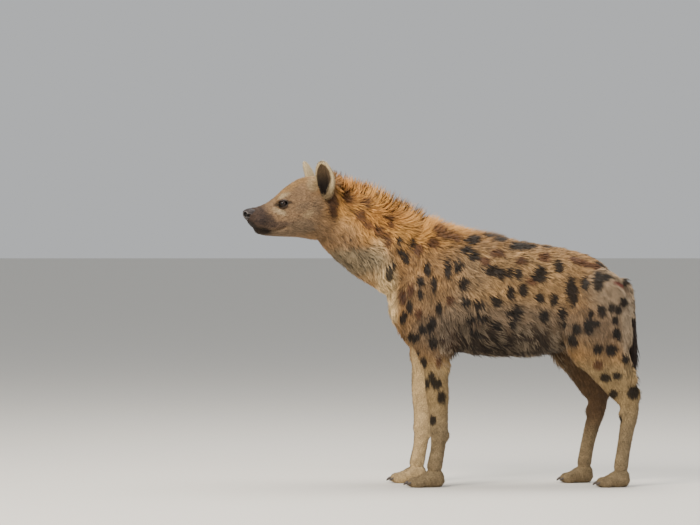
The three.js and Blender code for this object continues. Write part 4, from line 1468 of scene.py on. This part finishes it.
def dressed(name, roots, normals, seed, spans, lines, clump=CLUMP):
    """A coat piece: tufts at the roots, combed, clumped and coloured by where their middle is."""
    way, length, rise, mane, upright, mane_length = combed(roots, normals)
    draw = np.random.default_rng(seed)
    count = len(roots)
    middle, shared = clumps_of(roots, clump, seed)
    tangent = unit(way - normals * (way * normals).sum(axis=1, keepdims=True))
    across = np.cross(normals, tangent)
    sway = 0.35 * ripple(roots, 0.11, 31) + 0.5 * (shared[:, 0] - 0.5)
    sway = sway + 0.22 * draw.normal(size=count)
    tangent = unit(tangent + across * sway[:, None])
    rise = rise * (0.75 + 0.5 * shared[:, 1] + 0.25 * ripple(roots, 0.07, 32))
    length = length * (0.8 + 0.3 * shared[:, 2] + 0.15 * draw.normal(size=count).clip(-2, 2))
    start = unit(tangent + normals * (1.7 * rise)[:, None])
    finish = unit(tangent + normals * (0.35 * rise - 0.05)[:, None])
    stand = unit(upright + 0.13 * draw.normal(size=(count, 3)) + 0.14 * (shared[:, :3] - 0.5))
    stand = unit(stand + np.stack([np.zeros(count), 3.0 * roots[:, 1], np.zeros(count)], axis=1))
    start = unit(mixed(start, unit(stand + 0.5 * normals), mane))
    finish = unit(mixed(finish, stand, mane))
    mane_length = mane_length * (0.8 + 0.14 * shared[:, 2] + 0.1 * draw.normal(size=count))
    length = length * (1 - mane) + mane_length * mane
    pull = (middle - roots) * (np.minimum(0.5 * length / 40, 0.5) * (1 - 0.9 * mane))[:, None]
    finish = unit(finish * (length * MM)[:, None] + pull)
    width = np.clip(0.075 * length, 1.3, 3.0 - 0.8 * mane) * draw.uniform(0.75, 1.25, count)
    centre = roots + finish * (length * MM * 0.45)[:, None]
    colours = coat_colours(centre, normals)
    light = 0.64 + 0.66 * shared[:, 3] + 0.2 * draw.normal(size=count)
    light = light * (1 + 0.12 * ripple(roots, 0.16, 33))
    dark = 1 - smoothstep(colours.mean(axis=1), 0.004, 0.03)
    light = light * (1 - 0.75 * dark) + 0.48 * dark
    light = light * (1 - 0.55 * mane) + 0.58 * mane
    colours = colours * np.clip(light, 0.4, 1.7)[:, None]
    low = smoothstep(-roots[:, 2], -0.56, -0.47) * smoothstep(roots[:, 2], 0.34, 0.38)
    belly = low * stretch(roots[:, 0], -0.05, 0.0, 0.36, 0.42)
    streaks = 0.7 * belly * (1 - 0.8 * dark) * (shared[:, 0] > 0.64)
    # Each tuft is darker at its root and lighter at its tip: painted shade and painted light along
    # the hair
    tints = (colours * (0.5 + 0.4 * mane)[:, None], mixed(colours * 1.25, CREAM, streaks))
    return tuft_mesh(
        name, roots, normals, start, finish, length * MM, width * MM, width * 0.4 * MM, tints,
        unrolled(roots, lines), spans=spans,
    )


body_roots, body_normals = scattered(skin, body_weight, BODY_TUFTS, BODY_SEED)
short_roots, short_normals = scattered(skin, short_weight, SHORT_TUFTS, SHORT_SEED)
BODY_PARTS = ["neck", "withers", "shoulder", "flank", "loin", "rump"]
body_pieces = []
edges = np.quantile(body_roots[:, 0], np.linspace(0, 1, len(BODY_PARTS) + 1))
edges[-1] += 1
for part, name in enumerate(BODY_PARTS):
    here = (body_roots[:, 0] >= edges[part]) & (body_roots[:, 0] < edges[part + 1])
    roots, normals = body_roots[here], body_normals[here]
    body_pieces.append(dressed(f"coat_{name}", roots, normals, PART_SEED + part, 2, spine_line))
on_head = (short_roots[:, 0] < -0.28) & (short_roots[:, 2] > 0.65)
forward = short_roots[:, 0] < 0.25
short_pieces = [
    dressed(
        f"coat_{name}", short_roots[here], short_normals[here], SHORT_PART_SEED, 1, lines,
        SHORT_CLUMP,
    )
    for name, here, lines in (
        ("face", on_head, spine_line),
        ("forelegs", ~on_head & forward, leg_lines),
        ("hindlegs", ~on_head & ~forward, leg_lines),
    )
]

# %% [markdown]
# Ears carry short hair that runs to their tips, dark and thin in the cup, with painted shadow
# deep in the cup, pale along the rim, and a few long pale hairs at the front of the opening.

# %% Coat of the ears
EAR_TUFTS = 5200
EAR_AXIS = [(-384, 880), (-390, 960), (-395, 1040)]
CUP_HAIR = 5.0
BACK_HAIR = 8.0
FRINGE_HAIR = 13.0
EAR_TUFT_WIDTH = 1.1 * MM
EAR_TUFT_THICK = 0.4 * MM
EAR_SEEDS = {"left": 71, "right": 72}


def everywhere(points, normals):
    return np.ones(len(points))


def ear_coat(side, flank, seed):
    roots, normals = scattered(ears[side], everywhere, EAR_TUFTS, seed)
    draw = np.random.default_rng(seed)
    root, top = ear_to_head(np.array([[0, 0, 0.0], [0, 0, 100.0]]), flank)
    axis = unit((top - root)[None])
    tangent = unit(axis - normals * (normals * axis).sum(axis=1, keepdims=True))
    tangent = unit(tangent + 0.2 * draw.normal(size=roots.shape))
    upright = head_to_ear(roots, flank)
    colours, cup = ear_colours(roots, normals, flank)
    length = np.where(cup > 0.4, CUP_HAIR, BACK_HAIR) * draw.uniform(0.7, 1.3, len(roots))
    fringe = (upright[:, 1] > 4) & (upright[:, 2] < 55) & (cup < 0.6)
    length = np.where(fringe, FRINGE_HAIR, length)
    colours = colours * draw.uniform(0.75, 1.25, len(roots))[:, None]
    start = unit(tangent + 0.35 * normals)
    finish = unit(tangent + 0.05 * normals)
    # Tufts are darker at the root and lighter at the tip as painted shade and painted light
    return tuft_mesh(
        f"coat_ear_{side}", roots, normals, start, finish, length * MM, EAR_TUFT_WIDTH,
        EAR_TUFT_THICK, (colours * 0.75, colours * 1.1),
        unrolled(roots, [in_side_view(EAR_AXIS)]), spans=1,
    )


ear_coats = [ear_coat(side, flank, EAR_SEEDS[side]) for side, flank in SIDES]

# %% [markdown]
# The tail ends in a long dark tuft, tiers of thin locks that hang round its lower half.

# %% Tail tuft
TAIL_TUFTS = 2600
TAIL_TUFT_WIDTH = 2.2 * MM
TAIL_TUFT_THICK = 0.9 * MM
TAIL_SEED = 81
SHORT_LOCK = 9
LONG_LOCK = 66
TAIL_END_Z = 330


def tail_coat():
    draw = np.random.default_rng(TAIL_SEED)
    shares = 0.2 + 0.78 * np.sort(draw.uniform(0, 1, TAIL_TUFTS) ** 0.8)
    turns = draw.uniform(0, 1, TAIL_TUFTS)
    roots = form_points(TAIL, shares, turns, grow=-TAIL_COAT) * MM
    middle = curve_points(middle_line(TAIL), shares) * MM
    normals = unit(roots - middle)
    down = unit(np.array([[0.02, 0, -1]]) + 0.08 * draw.normal(size=(TAIL_TUFTS, 3)))
    long_share = smoothstep(shares, 0.45, 0.8)
    length = SHORT_LOCK + (LONG_LOCK - SHORT_LOCK) * long_share
    length = length * draw.uniform(0.7, 1.15, TAIL_TUFTS)
    length = np.minimum(length, roots[:, 2] / MM - TAIL_END_Z)
    start = unit(down + (0.12 + 0.3 * long_share)[:, None] * normals)
    finish = unit(down + (0.12 - 0.1 * long_share)[:, None] * normals)
    grey = mixed(TAIL_BLACK, GREY_BUFF, 0.8 * (1 - smoothstep(shares, 0.26, 0.46)))
    colours = grey * draw.uniform(0.75, 1.35, TAIL_TUFTS)[:, None]
    # Locks are darker at the root and lighter at the tip as painted shade and painted light
    return tuft_mesh(
        "coat_tail", roots, normals, start, finish, length * MM, TAIL_TUFT_WIDTH,
        TAIL_TUFT_THICK, (colours * 0.8, colours * 1.1), unrolled(roots, [middle_line(TAIL)]),
        spans=2,
    )


tail_piece = tail_coat()

# %% [markdown]
# Whiskers: a few stiff dark bristles on each side of the muzzle and over the eyes.

# %% Whiskers
# Rows of bristles: the first one's x and z, and how many there are
WHISKER_ROWS = [(-612, 838, 5), (-604, 830, 5), (-596, 822, 4)]
WHISKER_GAP = 9
WHISKER_WIDTH = 0.7 * MM
BROW_BRISTLE_LENGTH = 38
PAST_CHEEK = 60
BROW_BRISTLES = [(-520, 908), (-514, 911), (-508, 912)]
WHISKER_SEED = 91

on_muzzle = places_of(skin)[:, 0] < -0.44
muzzle_places = places_of(skin)[on_muzzle]
muzzle_normals = normals_of(skin)[on_muzzle]


def nearest_on_skin(targets):
    """The points of the muzzle's skin nearest to some targets, with their normals."""
    gaps = np.linalg.norm(muzzle_places[:, None] - targets[None], axis=2)
    nearest = gaps.argmin(axis=0)
    return muzzle_places[nearest], muzzle_normals[nearest]


def whiskers():
    targets, lengths = [], []
    for flank in FLANKS:
        for x, z, count in WHISKER_ROWS:
            for step in range(count):
                targets.append((x + WHISKER_GAP * step, PAST_CHEEK * flank, z + 1.5 * step))
                lengths.append(34 + 8 * step)
        for x, z in BROW_BRISTLES:
            targets.append((x, PAST_CHEEK * flank, z))
            lengths.append(BROW_BRISTLE_LENGTH)
    roots, normals = nearest_on_skin(turned_head(np.array(targets, float) * MM))
    draw = np.random.default_rng(WHISKER_SEED)
    back = turned_head(np.array([[1.0 + HEAD_PIVOT_X * MM, 0, -0.25]])) - (HEAD_PIVOT_X * MM, 0, 0)
    spread = 0.12 * draw.normal(size=roots.shape)
    start = unit(normals + 0.5 * back + spread)
    finish = unit(0.5 * normals + back + spread)
    return tuft_mesh(
        "whiskers", roots, normals, start, finish, np.array(lengths) * MM, WHISKER_WIDTH,
        WHISKER_WIDTH * 0.8, (SPOT_BLACK, SPOT_BLACK * 3), unrolled(roots, spine_line), spans=2,
    )


bristles = whiskers()

# %% [markdown]
# ## Materials
# One small function adds a node. Hair and hide take their colour from the tint that each vertex
# stores, and noise at the width of a hair breaks it up. Hair is keratin: IOR 1.55, a soft broad
# shine and no metal.

# %% Node helper
def add_node(tree, kind, links=(), **settings):
    """Adds a node, sets its sockets and properties, and links (socket, source) pairs to it."""
    node = tree.nodes.new(kind)
    for name, value in settings.items():
        if hasattr(node, name):
            setattr(node, name, value)
        else:
            node.inputs[name.replace("_", " ")].default_value = value
    for socket, source in links:
        tree.links.new(source, node.inputs[socket])
    return node


def tinted_material(name, roughness, ior, grain_mm, grain_depth, bump_mm, shine=0.5):
    """A surface whose colour is its stored tint, broken up by grain of a real size."""
    material = bpy.data.materials.new(name)
    material.use_nodes = True
    tree = material.node_tree
    shader = tree.nodes["Principled BSDF"]
    shader.inputs["Roughness"].default_value = roughness
    shader.inputs["IOR"].default_value = ior
    shader.inputs["Specular IOR Level"].default_value = shine
    tint = add_node(tree, "ShaderNodeAttribute", attribute_name="tint")
    place = add_node(tree, "ShaderNodeTexCoord")
    grain = add_node(
        tree, "ShaderNodeTexNoise", [("Vector", place.outputs["Object"])],
        Scale=1 / (grain_mm * MM), Detail=3.0, Roughness=0.6,
    )
    shade = add_node(
        tree, "ShaderNodeMapRange", [("Value", grain.outputs["Fac"])],
        From_Min=0.3, From_Max=0.7, To_Min=1 - grain_depth, To_Max=1 + grain_depth,
    )
    colour = add_node(
        tree, "ShaderNodeVectorMath",
        [(0, tint.outputs["Color"]), ("Scale", shade.outputs["Result"])], operation="SCALE",
    )
    tree.links.new(colour.outputs["Vector"], shader.inputs["Base Color"])
    if bump_mm:
        height = [("Height", grain.outputs["Fac"])]
        bump = add_node(tree, "ShaderNodeBump", height, Distance=bump_mm * MM)
        tree.links.new(bump.outputs["Normal"], shader.inputs["Normal"])
    return material


# %% Materials of the hyena
# Each has its roughness, its IOR, the size of its grain in mm, the grain's depth from 0 to 1 and
# the height of its bumps in mm. Nothing is metallic. The first is guard hair in tufts, dull
# because hairs shade one another.
hair = tinted_material("guard_hair", 0.62, 1.55, 14, 0.16, 0, shine=0.22)
# Short hair of face, ears and legs
short_hair = tinted_material("short_hair", 0.64, 1.55, 9, 0.2, 0, shine=0.22)
# Hide under the coat with its flat underfur: bundles of hair drawn as a grain of 3.2 mm
hide = tinted_material("furred_hide", 0.8, 1.45, 3.2, 0.45, 2.2, shine=0.2)
# Bare nose leather: pebbled at 1.1 mm and slightly moist
nose_leather = tinted_material("nose_leather", 0.5, 1.45, 1.1, 0.15, 0.35, shine=0.3)
# Lid margins: thin bare skin, moist at the edge
lid_skin = tinted_material("lid_skin", 0.55, 1.45, 1.6, 0.2, 0.25, shine=0.2)
# The wet cornea over a brown iris: IOR 1.376
cornea = tinted_material("wet_eye", 0.05, 1.376, 0.8, 0.1, 0, shine=0.4)
# Claw horn: layered keratin, worn dull at the tips
claw_horn = tinted_material("claw_horn", 0.5, 1.55, 3, 0.25, 0.1)
paint(claws, tone("#3b3029"))
paint(skin, coat_colours(places_of(skin), normals_of(skin)) * 0.8)

# %% Dress every piece
def finish_piece(piece, material, slot, *nodes):
    piece.data.materials.clear()
    piece.data.materials.append(material)
    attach(piece, "root")
    if nodes:
        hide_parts(*nodes)


LIMBS = [(leg["kind"], side) for leg in LEGS for side, _ in SIDES]
FLESH = ["head", "neck", "torso", "tail"]
FLESH += [f"{kind}leg_{side}" for kind, side in LIMBS]
FLESH += [f"paw_{kind}_{side}" for kind, side in LIMBS]
CLAW_NODES = [f"claw_{kind}_{side}_{toe}" for kind, side in LIMBS for toe in range(1, 5)]
finish_piece(skin, hide, "coat", *FLESH)
finish_piece(nose_pad, nose_leather, "nose_skin", "nose")
finish_piece(claws, claw_horn, "claw", *CLAW_NODES)
for side, flank in SIDES:
    finish_piece(eyes[side], cornea, "eye", f"eye_{side}")
    finish_piece(lids[side], lid_skin, "face")
    finish_piece(ears[side], hide, "ear_fur", f"ear_{side}")
for piece in body_pieces:
    finish_piece(piece, hair, "coat")
for piece, slot in zip(short_pieces, ("face", "leg_fur", "leg_fur")):
    finish_piece(piece, short_hair, slot)
for piece in ear_coats:
    finish_piece(piece, short_hair, "ear_fur")
finish_piece(tail_piece, hair, "tail_tuft")
finish_piece(bristles, short_hair, "face")

# %% [markdown]
# ## Studio
# A plain pale floor, a warm key light above the head on the camera's side, a broad light from
# above that edges the mane, a weak cool fill from the rear, and a pale world.

# %% Floor and lights
bpy.ops.object.select_all(action="DESELECT")
bpy.ops.mesh.primitive_plane_add(size=60)
floor = bpy.context.object
floor.name = "floor"
paper = bpy.data.materials.new("floor_paper")
paper.use_nodes = True
paper_shader = paper.node_tree.nodes["Principled BSDF"]
paper_shader.inputs["Base Color"].default_value = (*tone("#d9d6cf"), 1)
paper_shader.inputs["Roughness"].default_value = 0.9
floor.data.materials.append(paper)


def soft_light(name, place, aim, power, size, colour):
    bpy.ops.object.select_all(action="DESELECT")
    turn = (Vector(aim) - Vector(place)).to_track_quat("-Z", "Y")
    bpy.ops.object.light_add(type="AREA", location=place, rotation=turn.to_euler())
    light = bpy.context.object
    light.name = name
    light.data.energy = power
    light.data.size = size
    light.data.color = tuple(tone(colour))


MIDDLE = (0, 0, 0.6)
soft_light("key", (-2.4, -3.2, 3.6), MIDDLE, 330, 2.0, "#fff4e4")
soft_light("top", (0.3, 0.6, 4.2), MIDDLE, 190, 2.6, "#fffaf2")
soft_light("fill", (3.0, -3.6, 1.8), MIDDLE, 60, 2.6, "#eef3ff")
world = bpy.data.worlds.new("studio")
world.use_nodes = True
sky = world.node_tree.nodes["Background"]
sky.inputs["Color"].default_value = (*tone("#e4e6e8"), 1)
sky.inputs["Strength"].default_value = 0.68
bpy.context.scene.world = world
